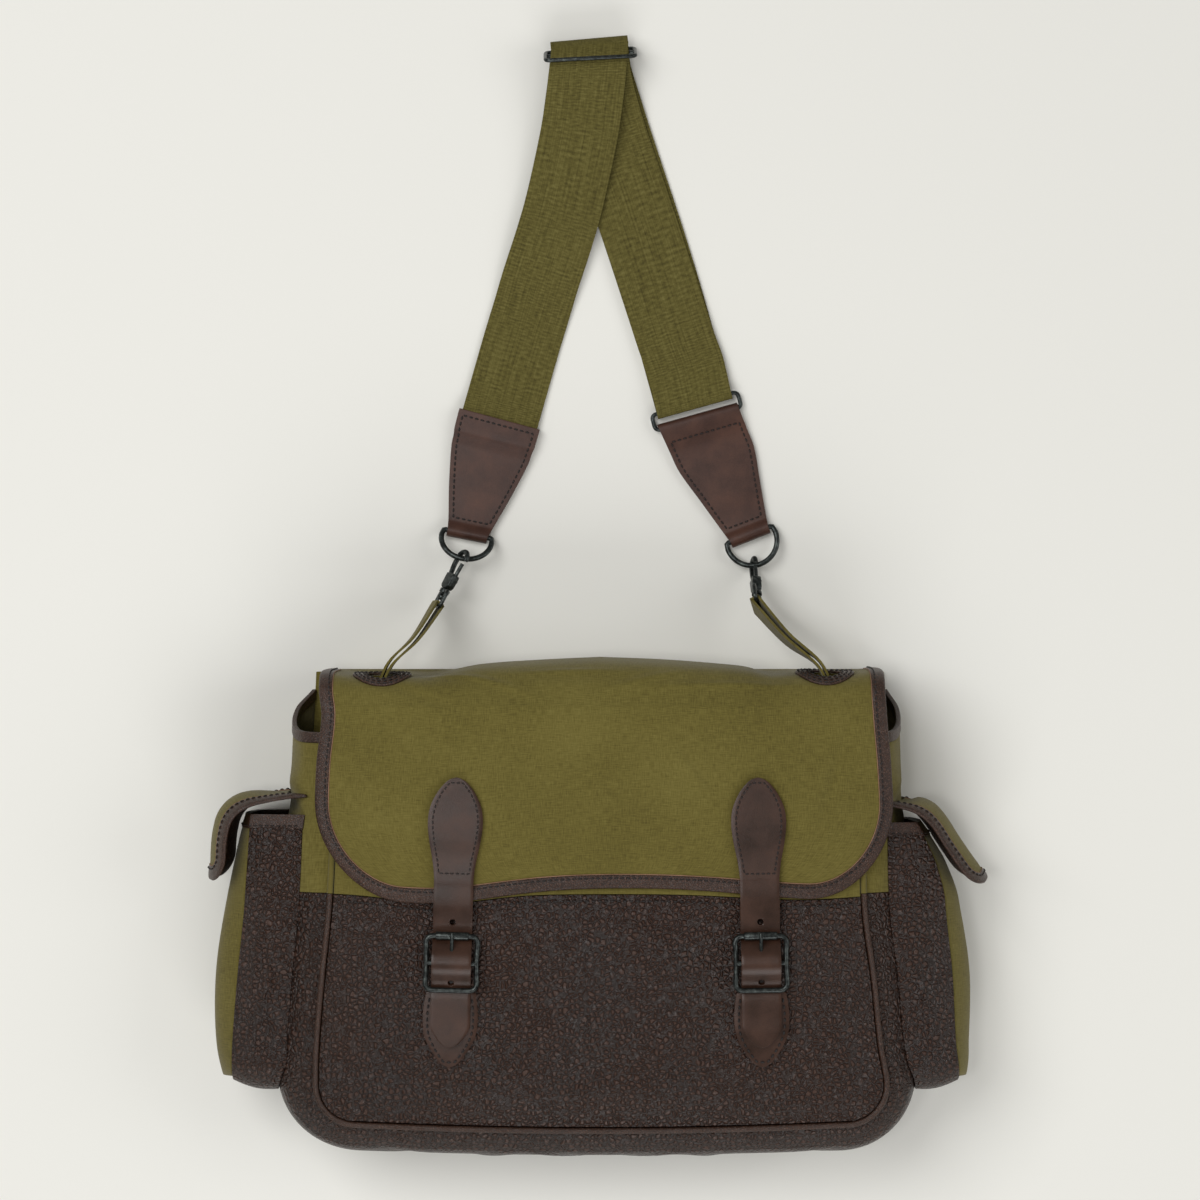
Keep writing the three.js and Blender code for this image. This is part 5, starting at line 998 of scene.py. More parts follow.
for side in (-1, 1):
    name = sideName(side)

    def sideCanvas(u, v):
        return sidePoint(side, mix(seamY + body["gap"], mouthHeight(u), v), u, v)

    def trimPlace(u, v):
        point = sidePoint(side, mouthHeight(u) + mix(body["gap"], body["trimHeight"], v), u)
        return point + Vector((side * 0.8, 0, 0))

    sheet(f"side_canvas_{name}", 30, 36, sideCanvas, (100, 110), cloth, [oliveCanvas], bodyMiddle,
          f"gusset_canvas_{name}")
    sheet(f"side_binding_{name}", 30, 6, trimPlace, (100, 7), cloth + 1.6, [bindingLeather], bodyMiddle,
          f"mouth_trim_{name}")


def leatherLevel(x, down):
    side = -1 if x < 0 else 1
    inner = body["pipingRadius"] + body["seamGap"]
    bottom = frontBottom + inner - bowAt(frontShape, x, side) * smooth(down, 0.5, 1)
    return mix(seamY + dipAt(seamDips, x) * (1 - down), bottom, down)


def canvasLevel(x, down):
    return mix(mouthY, seamY + body["gap"] + dipAt(seamDips, x) * down, down)


def frontPlace(level, sink):
    def place(u, v):
        side = -1 if u < 0.5 else 1
        inner = body["pipingRadius"] + body["seamGap"] - 0.4
        rough = level(side * body["frontWidth"] / 2, v)
        x = inset(u) * panelHalf(frontShape, rough, side, inner)
        y = level(x, v)
        return Vector((x, y, frontZ(x, y) - sink))
    return place


sheet("front_hide", 200, 90, frontPlace(leatherLevel, 0), (366, 148), leather, [grainLeather], farBelow,
      "front_leather")
seam = []
for i in range(121):
    x = inset(i / 120) * frontHalf(seamY, 1) * 0.96
    y = seamY + dipAt(seamDips, x) - 4
    seam.append((Vector((x, y, frontZ(x, y) + 0.05)), upward.copy()))
stitches("front_seam_stitching", seam, darkThread, 4, 1.3)
for side in (-1, 1):
    seam = []
    t = side * (1 - 0.33 * 4 / (seamY - frontBottom - body["frontCorner"]))
    for i in range(41):
        seam.append((gussetPoint(t, mix(0.06, 0.8, i / 40)) + Vector((side * 0.1, 0, 0)), Vector((side, 0, 0.4))))
    stitches(f"side_seam_stitching_{sideName(side)}", seam, darkThread, 4, 1.3)

sheet("front_canvas_panel", 90, 30, frontPlace(canvasLevel, leather - cloth), (366, 110), cloth, [oliveCanvas],
      farBelow, "front_canvas")

pipingLine = [outlineAt(frontShape, seamY, inset(i / 160)) + upward * pipingZ for i in range(161)]
wire("front_piping_cord", [(pipingLine, False)], body["pipingRadius"], bindingLeather, "front_piping")
for side in (-1, 1):
    welt = []
    for i in range(31):
        y = mix(seamY + body["gap"], mouthY, i / 30)
        welt.append(Vector((side * frontHalf(y, side), y, pipingZ)))
    wire(f"front_welt_cord_{sideName(side)}", [(welt, False)], body["pipingRadius"], weltCanvas)
print("body ready")

# Flap pieces.
flapInset = flap["bindingWidth"] - 1.5


def flapPlace(u, v):
    along = v * (flapLength - flapInset)
    across = inset(u) * lidHalf(flapLid, along, inset(u), flapInset)
    return flapPoint(across, along)


flapCloth = sheet("flap_canvas", 170, 190, flapPlace, (352, 236), cloth, [oliveCanvas],
                  Vector((0, 40, 40)), "flap")
lidBinding("flap_edge_binding", flapLid, flap["bindingWidth"], flap["bindingWall"], flap["girth"] * 0.1,
           (70, 26, 60), bindingLeather, "flap_binding")
lidStitches("flap_edge_stitching", flapLid, flap["bindingWidth"] - 2.2, flap["girth"] * 0.12, 0.85, darkThread)


# The binding's cut edge shows as a pale line beside the canvas.
def rawLine(name, lid, inwards, start, steps):
    points = []
    for across, along, inX, inY in lidBorder(lid, start, *steps):
        points.append(raised(lid["surface"], across + inX * inwards, along + inY * inwards, 0.3))
    wire(name, [(points, False)], 0.3, rawEdge)


rawLine("flap_binding_cut_edge", flapLid, flap["bindingWidth"] + 0.15, flap["girth"] * 0.12, (70, 26, 60))


def patchMiddle(side):
    return flap["patchShift"] + side * flap["patchSpacing"] / 2, flap["patchAlong"]


def ovalRing(name, side, finish, node):
    across, along = patchMiddle(side)
    section = [(0.0, 0.1), (0.0, 0.8), (0.12, 1.0), (0.88, 1.0), (1.0, 0.8), (1.0, 0.1)]
    rings = []
    for i in range(64):
        angle = 2 * math.pi * i / 64
        ring = []
        for share, high in section:
            width = mix(flap["slotHalfWidth"], flap["patchHalfWidth"], share)
            height = mix(flap["slotHalfHeight"], flap["patchHalfHeight"], share)
            place = (across + width * math.cos(angle), along + height * math.sin(angle))
            ring.append(raised(flapPoint, *place, 0.2 + high * flap["patchWall"]))
        rings.append(ring)
    loft(name, rings, [finish], node, closed=True)
    for share in (0.16, 0.5, 0.84):
        width = mix(flap["slotHalfWidth"], flap["patchHalfWidth"], share)
        height = mix(flap["slotHalfHeight"], flap["patchHalfHeight"], share)
        line = []
        for i in range(65):
            angle = 2 * math.pi * i / 64
            place = (across + width * math.cos(angle), along + height * math.sin(angle))
            point, normal = faced(flapPoint, *place)
            line.append((point + normal * (flap["patchWall"] + 0.25), normal))
        stitches(f"{name}_stitching_{int(share * 100)}", line, darkThread)


# The slots in the flap's canvas, cut where the patches are.
def cutSlot(piece, side):
    across, along = patchMiddle(side)
    point, normal = faced(flapPoint, across, along)
    lengthwise = (faced(flapPoint, across, along + 1)[0] - point).normalized()
    bm = bmesh.new()
    bmesh.ops.create_cone(bm, cap_ends=True, segments=40, radius1=mm, radius2=mm, depth=24 * mm)
    bmesh.ops.scale(bm, vec=(flap["slotHalfWidth"], flap["slotHalfHeight"], 1), verts=bm.verts)
    data = bpy.data.meshes.new("slot cutter")
    bmesh.ops.transform(bm, matrix=frameMatrix(point * mm, Vector((1, 0, 0)), lengthwise), verts=bm.verts)
    bm.to_mesh(data)
    bm.free()
    cutter = bpy.data.objects.new(f"slot_cutter_{sideName(side)}", data)
    bpy.context.scene.collection.objects.link(cutter)
    slot = piece.modifiers.new("slot", "BOOLEAN")
    slot.operation = "DIFFERENCE"
    slot.object = cutter
    slot.solver = "EXACT"
    cutter.hide_render = True
    cutter.hide_viewport = True
    return cutter


def bakeModifiers(piece):
    graph = bpy.context.evaluated_depsgraph_get()
    data = bpy.data.meshes.new_from_object(piece.evaluated_get(graph))
    piece.modifiers.clear()
    piece.data = data


cutters = [cutSlot(flapCloth, side) for side in (-1, 1)]
bakeModifiers(flapCloth)
for cutter in cutters:
    bpy.data.objects.remove(cutter)
for side in (-1, 1):
    ovalRing(f"flap_slot_patch_{sideName(side)}", side, bindingLeather, f"flap_patch_{sideName(side)}")
print("flap ready")

# Side pockets.
for side in (-1, 1):
    name = sideName(side)
    mouth = seamY + (pocket["mouthLeft"] if side < 0 else pocket["mouthRight"])
    bulge = pocket["bulgeLeft"] if side < 0 else pocket["bulgeRight"]
    middleZ = (pocket["frontZ"] + pocket["backZ"]) / 2
    halfDepth = (pocket["frontZ"] - pocket["backZ"]) / 2
    inside = Vector((side * (body["frontWidth"] / 2 + pocket["depth"] * 0.6), (mouth + pocketBottom) / 2, middleZ))

    def edgeX(y):
        down = (mouth - y) / (mouth - pocketBottom)
        return sideReach(y, pocket["frontZ"], side) + pocket["depth"] * between(pocketStand, "down", down, name)

    # A place on the pocket's U: 0 at the front of the mouth, 1 at its back.
    def pocketU(t, inset, topY):
        radius = pocket["corner"] - inset
        half = halfDepth - inset
        bottom = pocketBottom + inset
        face = 1 if t < 0.5 else -1
        share = 2 * t if t < 0.5 else 2 - 2 * t
        if share < 0.75:
            return mix(topY, bottom + radius, share / 0.75), middleZ + face * half
        if share < 0.95:
            angle = math.pi / 2 * (share - 0.75) / 0.2
            return bottom + radius * (1 - math.sin(angle)), middleZ + face * (half - radius * (1 - math.cos(angle)))
        return bottom, middleZ + face * (half - radius) * (1 - share) / 0.05

    def stripPlace(u, v):
        top = mouth - pocket["bindingWidth"] + 0.5
        footY, footZ = pocketU(u, 0, top)
        faceY, faceZ = pocketU(u, pocket["taper"], top)
        start = Vector((side * (sideReach(round(footY, 1), round(footZ, 1), side) + pocket["seat"]), footY, footZ))
        end = Vector((side * edgeX(faceY), faceY, faceZ))
        puff = 2.2 * math.sin(math.pi * v)
        point = start.lerp(end, v)
        down = smooth(pocketBottom + pocket["corner"] - footY, 0, pocket["corner"])
        point.y -= puff * down
        point.z += puff * clamp((footZ - middleZ) / halfDepth, -1, 1)
        fold = foldHeight(pocketFolds, v, clamp(u * 2)) if u < 0.5 else 0
        point.z += fold * math.sin(math.pi * clamp(v))
        return point

    sheet(f"pocket_side_hide_{name}", 200, 24, stripPlace, (400, 37), leather, [grainLeather], inside,
          f"pocket_gusset_{name}")

    faceInset = pocket["taper"] + leather

    def faceHalf(y):
        radius = pocket["corner"] - faceInset
        centre = pocketBottom + pocket["corner"]
        half = halfDepth - faceInset
        if y >= centre:
            return half
        fall = min(centre - y, radius)
        return half - radius + math.sqrt(max(0.0, radius * radius - fall * fall))

    def faceX(y, share):
        down = (mouth - y) / (mouth - pocketBottom)
        return edgeX(y) + bulge * between(pocketFill, "down", down, "out") * (1 - share * share)

    def facePlace(u, v):
        y = mix(mouth - pocket["bindingWidth"] + 0.5, pocketBottom + faceInset, v)
        share = inset(u)
        return Vector((side * (faceX(y, share) + 0.2), y, middleZ + share * faceHalf(y)))

    sheet(f"pocket_canvas_{name}", 30, 70, facePlace, (50, 165), cloth, [oliveCanvas], inside,
          f"pocket_face_{name}")

    def mouthPlace(u, v):
        y = mouth - pocket["bindingWidth"] * v
        half = halfDepth - pocket["taper"]
        if u < 0.25 or u > 0.75:
            z = pocket["frontZ"] if u < 0.25 else pocket["backZ"]
            edge = middleZ + (half if u < 0.25 else -half)
            share = u / 0.25 if u < 0.25 else (1 - u) / 0.25
            start = Vector((side * (sideReach(round(y, 1), z, side) + pocket["seat"]), y, z))
            point = start.lerp(Vector((side * edgeX(y), y, edge)), share)
        else:
            share = 1 - (u - 0.25) / 0.25
            point = Vector((side * faceX(y, share), y, middleZ + share * half))
        lift = 0.8
        turned = smooth(u, 0.2, 0.3) * (1 - smooth(u, 0.7, 0.8))
        point.x += side * lift * turned
        point.z += lift * (1 - turned) * (1 if u < 0.5 else -1)
        return point

    sheet(f"pocket_mouth_binding_{name}", 120, 10, mouthPlace, (150, 9), cloth + 1.6, [bindingLeather], inside,
          f"pocket_binding_{name}")
    line = []
    for i in range(70):
        u = mix(0.02, 0.98, i / 69)
        out = Vector((side, 0, 0)) if 0.26 < u < 0.74 else upward * (1 if u < 0.5 else -1)
        line.append((mouthPlace(u, 0.82) + out * 0.1, out))
    stitches(f"pocket_mouth_stitching_{name}", line, paleThread)

    # The pocket's flap.
    flapTop = mouth + pocket["flapAboveMouth"]
    form = pocketFlapForm[name]
    profile = smoothLine([Vector((out * pocket["depth"], flapTop - fall * pocket["flapFall"], 0))
                          for out, fall in pocketFlapProfile[name]])
    profile = spaced(profile, 161)
    flapMiddleZ = (pocket["flapFrontZ"] + pocket["flapBackZ"]) / 2
    flapHalfZ = (pocket["flapFrontZ"] - pocket["flapBackZ"]) / 2
    rootAtFront = sideReach(round(flapTop, 1), pocket["frontZ"], side) + pocket["seat"]

    def pocketFlapPoint(across, along):
        share = clamp(along / pocket["flapLength"])
        place = min(int(share * 160), 159)
        at = profile[place].lerp(profile[place + 1], share * 160 - place)
        ahead = (profile[place + 1] - profile[place]).normalized()
        z = flapMiddleZ - side * across
        belly = 1 - clamp(abs(across) / flapHalfZ) ** form["round"]
        swell = pocket["flapBelly"] * belly * smooth(share, 0, form["full"])
        rootHere = sideReach(round(at.y, 1), round(clamp(z, 3, 86), 1), side) + pocket["seat"]
        root = mix(rootHere, rootAtFront, smooth(share, 0, 0.3))
        past = along - pocket["flapLength"] * share
        x = root + at.x - ahead.y * swell + ahead.x * past
        return Vector((side * x, at.y + ahead.x * swell + ahead.y * past, z))

    lid = {
        "surface": pocketFlapPoint,
        "length": pocket["flapLength"],
        "corner": pocket["flapCorner"],
        "half": lambda along, side: flapHalfZ,
    }
    bindingWidth = pocket["flapBindingLeft"] if side < 0 else pocket["flapBindingRight"]
    lidInset = bindingWidth - 1.5

    def pocketFlapPlace(u, v):
        along = v * (pocket["flapLength"] - lidInset)
        return pocketFlapPoint(inset(u) * lidHalf(lid, along, inset(u), lidInset), along)

    sheet(f"pocket_flap_canvas_{name}", 40, 70, pocketFlapPlace, (56, 90), cloth, [oliveCanvas], inside,
          f"pocket_flap_{name}")
    lidBinding(f"pocket_flap_edge_{name}", lid, bindingWidth, flap["bindingWall"], 1.5, (50, 14, 14),
               bindingLeather, f"pocket_flap_binding_{name}")
    lidStitches(f"pocket_flap_stitching_{name}", lid, bindingWidth - 2.2, 2.5, 0.85, darkThread, (50, 14, 14))
    rawLine(f"pocket_flap_cut_edge_{name}", lid, bindingWidth + 0.15, 2.5, (50, 14, 14))
print("pockets ready")


# Straps of leather and webbing: stations with a centre, a direction across and a width.
def ribbon(name, stations, wall, finishes, node, columns=10, rim=0):
    centres = [station[0] for station in stations]

    def place(u, v):
        at = v * (len(stations) - 1)
        i = min(int(at), len(stations) - 2)
        share = at - i
        centre = centres[i].lerp(centres[i + 1], share)
        across = stations[i][1].lerp(stations[i + 1][1], share)
        width = mix(stations[i][2], stations[i + 1][2], share)
        ahead = (centres[i + 1] - centres[i]).normalized()
        up = across.cross(ahead).normalized()
        return centre + across * (inset(u) * width / 2) + up * (wall / 2)

    length = sum((b - a).length for a, b in zip(centres, centres[1:]))
    width = max(station[2] for station in stations)
    bm = bmesh.new()
    bmesh.ops.create_grid(bm, x_segments=columns, y_segments=len(stations) - 1, size=0.5)
    uvMap = bm.loops.layers.uv.new("cloth")
    for face in bm.faces:
        for loop in face.loops:
            u, v = loop.vert.co.x + 0.5, loop.vert.co.y + 0.5
            loop[uvMap].uv = (u * width * mm, v * length * mm)
    for vert in bm.verts:
        vert.co = place(clamp(vert.co.x + 0.5), clamp(vert.co.y + 0.5)) * mm
    data = bpy.data.meshes.new(name)
    bm.to_mesh(data)
    bm.free()
    data.polygons.foreach_set("use_smooth", [True] * len(data.polygons))
    piece = addPiece(name, data, finishes, node)
    thicken(piece, wall, rim, 0.3)
    return piece


def roundedOutline(width, height, corner, steps=6):
    points = []
    for sx, sy, start in ((1, 1, 0), (-1, 1, 90), (-1, -1, 180), (1, -1, 270)):
        for i in range(steps + 1):
            angle = math.radians(start + 90 * i / steps)
            x = sx * (width / 2 - corner) + corner * math.cos(angle)
            points.append(Vector((x, sy * (height / 2 - corner) + corner * math.sin(angle), 0)))
    return points


def seatOn(surface, x, y, half):
    return max(surface(x + half * share, y) for share in (-1, -0.5, 0, 0.5, 1))


def halfAt(share):
    return between(teardrop, "along", clamp(share), "half")


def flapTopAt(x, y):
    stretch = (wrapEndY - y) / (flapFlat - dipAt(flapDips, x))
    return flapPoint(x, flap["girth"] + stretch * flapFlat).z


for fast in fastenings:
    side, lean = fast["side"], fast["lean"]
    name = sideName(side)
    middleX = fastening["shift"] + side * fastening["spacing"] / 2
    slope = math.tan(math.radians(lean))
    across = Vector((math.cos(math.radians(lean)), -math.sin(math.radians(lean)), 0))
    low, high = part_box(f"roller_{name}")
    barZ = (low[2] + high[2]) / 2 / mm
    halfBuckle = fastening["buckleLength"] / 2 - fastening["buckleWire"]
    wall, chapeWall = fastening["strapWall"], fastening["chapeWall"]

    def lineX(y):
        return middleX + (y - buckleY) * slope

    def onFront(y, width=fastening["chapeWidth"]):
        return seatOn(frontZ, lineX(y), y, width / 2)

    edgeY = flapPoint(middleX, flapLength).y
    stripY = edgeY + flap["bindingWidth"] + 4

    def onFlap(y):
        proud = 0.3 + (0.8 if y < stripY + 3 else 0.05)
        return seatOn(flapTopAt, lineX(y), max(y, stripY), fastening["topWidth"] / 2) + proud + wall / 2

    topY = seamY + fast["topRise"]
    tipY = seamY - fastening["tipDrop"]
    underRoller = barZ - fastening["rollerRadius"] - 0.2 - wall / 2
    underBar = barZ - fastening["buckleWire"] - 0.2 - wall / 2
    overBar = barZ + fastening["buckleWire"] + 0.3 + chapeWall + 0.6 + wall / 2

    def onChape(y):
        return onFront(y) + 0.5 + chapeWall + wall / 2

    keys = []
    for share in (0, 0.015, 0.04, 0.08, 0.15, 0.25, 0.4, 0.6, 0.8, 1):
        y = topY - share * fastening["topLength"]
        keys.append((y, onFlap(y)))
    keys += [
        (edgeY + 10, onFlap(edgeY + 10)),
        (edgeY + 2, onFlap(edgeY + 2)),
        (edgeY - 4, onFlap(edgeY) - 0.4),
        (mix(edgeY, buckleY + halfBuckle, 0.55), mix(onFlap(edgeY), underRoller, 0.55)),
        (buckleY + halfBuckle + 5, underRoller + 0.5),
        (buckleY + halfBuckle - 1, underRoller),
        (buckleY + halfBuckle * 0.62, mix(underRoller, overBar, 0.45)),
        (buckleY + halfBuckle * 0.3, mix(underRoller, overBar, 0.88)),
        (buckleY, overBar),
        (buckleY - halfBuckle * 0.3, mix(underBar, overBar, 0.85)),
        (buckleY - halfBuckle * 0.65, mix(underBar, overBar, 0.35)),
        (buckleY - halfBuckle, underBar),
    ]
    pastBar = buckleY - halfBuckle - 6
    keys.append((pastBar, max(onChape(pastBar), underBar - 0.6)))
    for share in (0.3, 0.6, 0.85, 0.96, 1):
        y = mix(buckleY - halfBuckle - 10, tipY, share)
        keys.append((y, onChape(y)))
    line = smoothLine([Vector((lineX(y), y, z)) for y, z in keys], 12)
    line = spaced(line, 260)
    tailTop = buckleY - halfBuckle - 10

    def strapWidthAt(y):
        if y > topY - fastening["topLength"]:
            return fastening["topWidth"] * halfAt((topY - y) / fastening["topLength"])
        if y < tailTop:
            share = (y - tipY) / (tailTop - tipY) * 0.62
            return fastening["strapWidth"] * min(1, halfAt(share) / halfAt(0.62))
        return fastening["strapWidth"]

    stations = [(point, across, max(strapWidthAt(point.y), 0.6)) for point in line]
    strap = ribbon(f"buckle_strap_hide_{name}", stations, wall, [strapLeather, cutEdge], f"buckle_strap_{name}", 12, 1)

    # Holes punched through the strap.
    def stationAt(y):
        i = min(range(len(line)), key=lambda n: abs(line[n].y - y))
        i = max(1, min(i, len(line) - 2))
        ahead = (line[i - 1] - line[i + 1]).normalized()
        return line[i], ahead, across.cross(ahead).normalized()

    for number, (y, stretch) in enumerate(((buckleY + halfBuckle + 9, 1), (buckleY - halfBuckle * 0.68, 1.1))):
        centre, ahead, up = stationAt(y)
        bm = bmesh.new()
        radius = fastening["holeRadius"]
        bmesh.ops.create_cone(bm, cap_ends=True, segments=24, radius1=radius * mm, radius2=radius * mm, depth=14 * mm)
        bmesh.ops.scale(bm, vec=(1, stretch, 1), verts=bm.verts)
        bmesh.ops.transform(bm, matrix=frameMatrix(centre * mm, across, ahead), verts=bm.verts)
        data = bpy.data.meshes.new("punch")
        bm.to_mesh(data)
        bm.free()
        punch = bpy.data.objects.new(f"punch_{name}_{number}", data)
        bpy.context.scene.collection.objects.link(punch)
        hole = strap.modifiers.new(f"hole {number}", "BOOLEAN")
        hole.operation = "DIFFERENCE"
        hole.object = punch
        hole.solver = "EXACT"
        punch.hide_render = True
    bakeModifiers(strap)
    for number in (0, 1):
        bpy.data.objects.remove(bpy.data.objects[f"punch_{name}_{number}"])

    # Stitched outline of the teardrop: round its tip, down both sides and across its foot.
    def onStrap(y, off):
        centre, ahead, up = stationAt(y)
        return centre + across * off + up * (wall / 2 + 0.05), up

    outline = []
    inner = 3.4
    foot = topY - fastening["topLength"] * 0.96
    for i in range(61):
        share = i / 60
        y = mix(foot, topY - inner, math.sin(share * math.pi / 2))
        half = strapWidthAt(y) / 2 - inner * 0.9 if i < 60 else 0
        outline.append((y, -max(half, 0)))
    outline += [(y, -off) for y, off in outline[::-1]]
    outline.append(outline[0])
    stitches(f"buckle_strap_stitching_{name}", [onStrap(y, off) for y, off in outline], paleThread, 3.4)

    # The chape, folded round the buckle's middle bar and sewn on the front.
    chapeTip = seamY - fastening["chapeTipDrop"]
    wrap = fastening["buckleWire"] + 0.3 + chapeWall / 2
    chapeFoot = buckleY - halfBuckle - 2
    keys = []
    for share in (0, 0.02, 0.06, 0.12, 0.2, 0.35, 0.55, 0.8, 1):
        y = mix(chapeTip, chapeFoot, share)
        keys.append(Vector((lineX(y), y, onFront(y) + 0.2 + chapeWall / 2)))
    keys.append(Vector((lineX(buckleY - 8), buckleY - 8, onFront(buckleY - 8) + 0.6 + chapeWall / 2)))
    for i in range(10):
        angle = math.radians(-100 + 215 * i / 9)
        y = buckleY + wrap * math.cos(angle)
        keys.append(Vector((lineX(y), y, barZ + wrap * math.sin(angle))))
    keys.append(Vector((lineX(buckleY - 6.5), buckleY - 6.5, barZ + 0.4)))
    chapeLine = spaced(smoothLine(keys, 10), 150)
    wrapStart = next(i for i, point in enumerate(chapeLine) if point.y > chapeFoot)

    def chapeWidthAt(i, y):
        if i >= wrapStart:
            return fastening["chapeWaist"]
        return fastening["chapeWidth"] * between(chapeShape, "along", (y - chapeTip) / (chapeFoot - chapeTip), "half")

    stations = [(point, across, max(chapeWidthAt(i, point.y), 0.6)) for i, point in enumerate(chapeLine)]
    ribbon(f"chape_hide_{name}", stations, chapeWall, [strapLeather, cutEdge], f"chape_{name}", 10, 1)
    outline = []
    for i in range(61):
        share = i / 60
        y = mix(chapeFoot - 3, chapeTip + inner, math.sin(share * math.pi / 2))
        half = chapeWidthAt(0, y) / 2 - inner * 0.85
        outline.append((y, -max(half, 0) if i < 60 else 0))
    outline += [(y, -off) for y, off in outline[::-1]]
    places = []
    for y, off in outline:
        z = onFront(y) + 0.2 + chapeWall + 0.05
        places.append((Vector((lineX(y), y, z)) + across * off, upward.copy()))
    stitches(f"chape_stitching_{name}", places, darkThread, 4, 1.3)

    # Buckle: waisted frame with its middle bar, roller and prong.
    place = frameMatrix(Vector((lineX(buckleY), buckleY, barZ)), across, upward.cross(across))
    width = fastening["buckleWidth"]
    outline = []
    corner = fastening["buckleCorner"]
    rounded = roundedOutline(width, halfBuckle * 2, corner, 8)
    for point in spaced(rounded + [rounded[0]], 97)[:-1]:
        waist = 1 - fastening["buckleWaist"] * math.cos(point.y / halfBuckle * 1.5)
        outline.append(Vector((point.x * waist, point.y, 0)))
    bar = [Vector((-width * 0.46, 0, 0)), Vector((width * 0.46, 0, 0))]
    lines = [([place @ point for point in outline], True), ([place @ point for point in bar], False)]
    wire(f"buckle_wire_{name}", lines, fastening["buckleWire"], steel, f"buckle_frame_{name}")
    bm = bmesh.new()
    radius = fastening["rollerRadius"]
    bmesh.ops.create_cone(bm, cap_ends=True, segments=28, radius1=radius * mm, radius2=radius * mm,
                          depth=fastening["rollerLength"] * mm)
    bmesh.ops.bevel(bm, geom=[e for e in bm.edges if abs(e.verts[0].co.z - e.verts[1].co.z) < 1e-6],
                    offset=0.4 * mm, segments=3, affect="EDGES", profile=0.5, material=-1)
    rollerPlace = place @ Matrix.Translation((0, halfBuckle, 0)) @ Matrix.Rotation(math.pi / 2, 4, "Y")
    rollerPlace.translation *= mm
    bmesh.ops.transform(bm, matrix=rollerPlace, verts=bm.verts)
    addPiece(f"roller_tube_{name}", meshFrom("roller", bm), [steel], f"roller_{name}")
    prongTop = fastening["rollerRadius"] + 0.3 + fastening["prongWire"]
    prongRadius = fastening["buckleWire"] + 0.3 + fastening["prongWire"]
    ring = [Vector((0, prongRadius * math.cos(a * math.pi / 12), prongRadius * math.sin(a * math.pi / 12)))
            for a in range(24)]
    arm = smoothLine([Vector(p) for p in ((0, 1.4, 2.2), (0, halfBuckle * 0.36, 2.9), (0, halfBuckle * 0.72, prongTop),
                                          (0, halfBuckle, prongTop + 0.15), (0, halfBuckle + 1.8, prongTop - 0.3))], 6)
    lines = [([place @ point for point in ring], True), ([place @ point for point in arm], False)]
    wire(f"prong_wire_{name}", lines, fastening["prongWire"], steel, f"prong_{name}")
print("fastenings ready")


# Carrying strap.
def routeStations(route):
    return [(Vector((row["x"], row["y"], row["z"])), acrossAt(row["turn"])) for row in route]


def roundBar(place, radius, towards, start, end, steps):
    across = acrossAt(place["turn"])
    away = across.cross(upward) * -towards
    stations = []
    for i in range(steps + 1):
        angle = math.radians(mix(start, end, i / steps))
        centre = Vector((place["x"], place["y"], place["z"])) + away * radius * math.cos(angle)
        stations.append((centre + upward * radius * math.sin(angle), across))
    return stations


width, wall = carrying["webbingWidth"], carrying["webbingWall"]
ringTurn = carrying["ringWire"] + 0.3 + wall / 2
sliderTurn = carrying["sliderWire"] + 0.3 + wall / 2
keys = routeStations(webbingRoute) + roundBar(topFold, topFold["radius"], 1, 90, -90, 8)
keys += routeStations(lowerRoute) + roundBar(ringPlace, ringTurn, -1, -90, 90, 8)
keys += routeStations(upperRoute) + roundBar(sliderBar, sliderTurn, 1, 90, -90, 8)
keys.append((Vector((-6.2, 551, 10.9)), acrossAt(5)))
centres = smoothLine([centre for centre, _ in keys], 8)
directions = smoothLine([direction for _, direction in keys], 8)
stations = [(centre, direction.normalized(), width) for centre, direction in zip(centres, directions)]
webbing = ribbon("shoulder_webbing", stations, wall, [oliveWebbing], "webbing", 12)

across = acrossAt(sliderBar["turn"])
leanBack = math.radians(carrying["sliderLean"])
sliderUp = across.cross(upward) * math.cos(leanBack) + upward * math.sin(leanBack)
place = frameMatrix(Vector((sliderBar["x"], sliderBar["y"], sliderBar["z"])), across, sliderUp)


bar = [Vector((-carrying["sliderWidth"] / 2, 0, 0)), Vector((carrying["sliderWidth"] / 2, 0, 0))]
loop = roundedOutline(carrying["sliderWidth"], 2 * carrying["sliderGap"], 3)
lines = [([place @ point for point in loop], True), ([place @ point for point in bar], False)]
wire("slider_wire", lines, carrying["sliderWire"], steel, "slider")

ringAt = Vector((ringPlace["x"], ringPlace["y"], ringPlace["z"]))
across = acrossAt(ringPlace["turn"])
ringMiddle = (ringAt + Vector(ends[1]["top"])) / 2
place = frameMatrix(ringMiddle, across, across.cross(upward))
loop = [place @ point for point in roundedOutline(carrying["ringWidth"], carrying["ringGap"], 3)]
wire("strap_ring_wire", [(loop, True)], carrying["ringWire"], steel, "strap_ring")

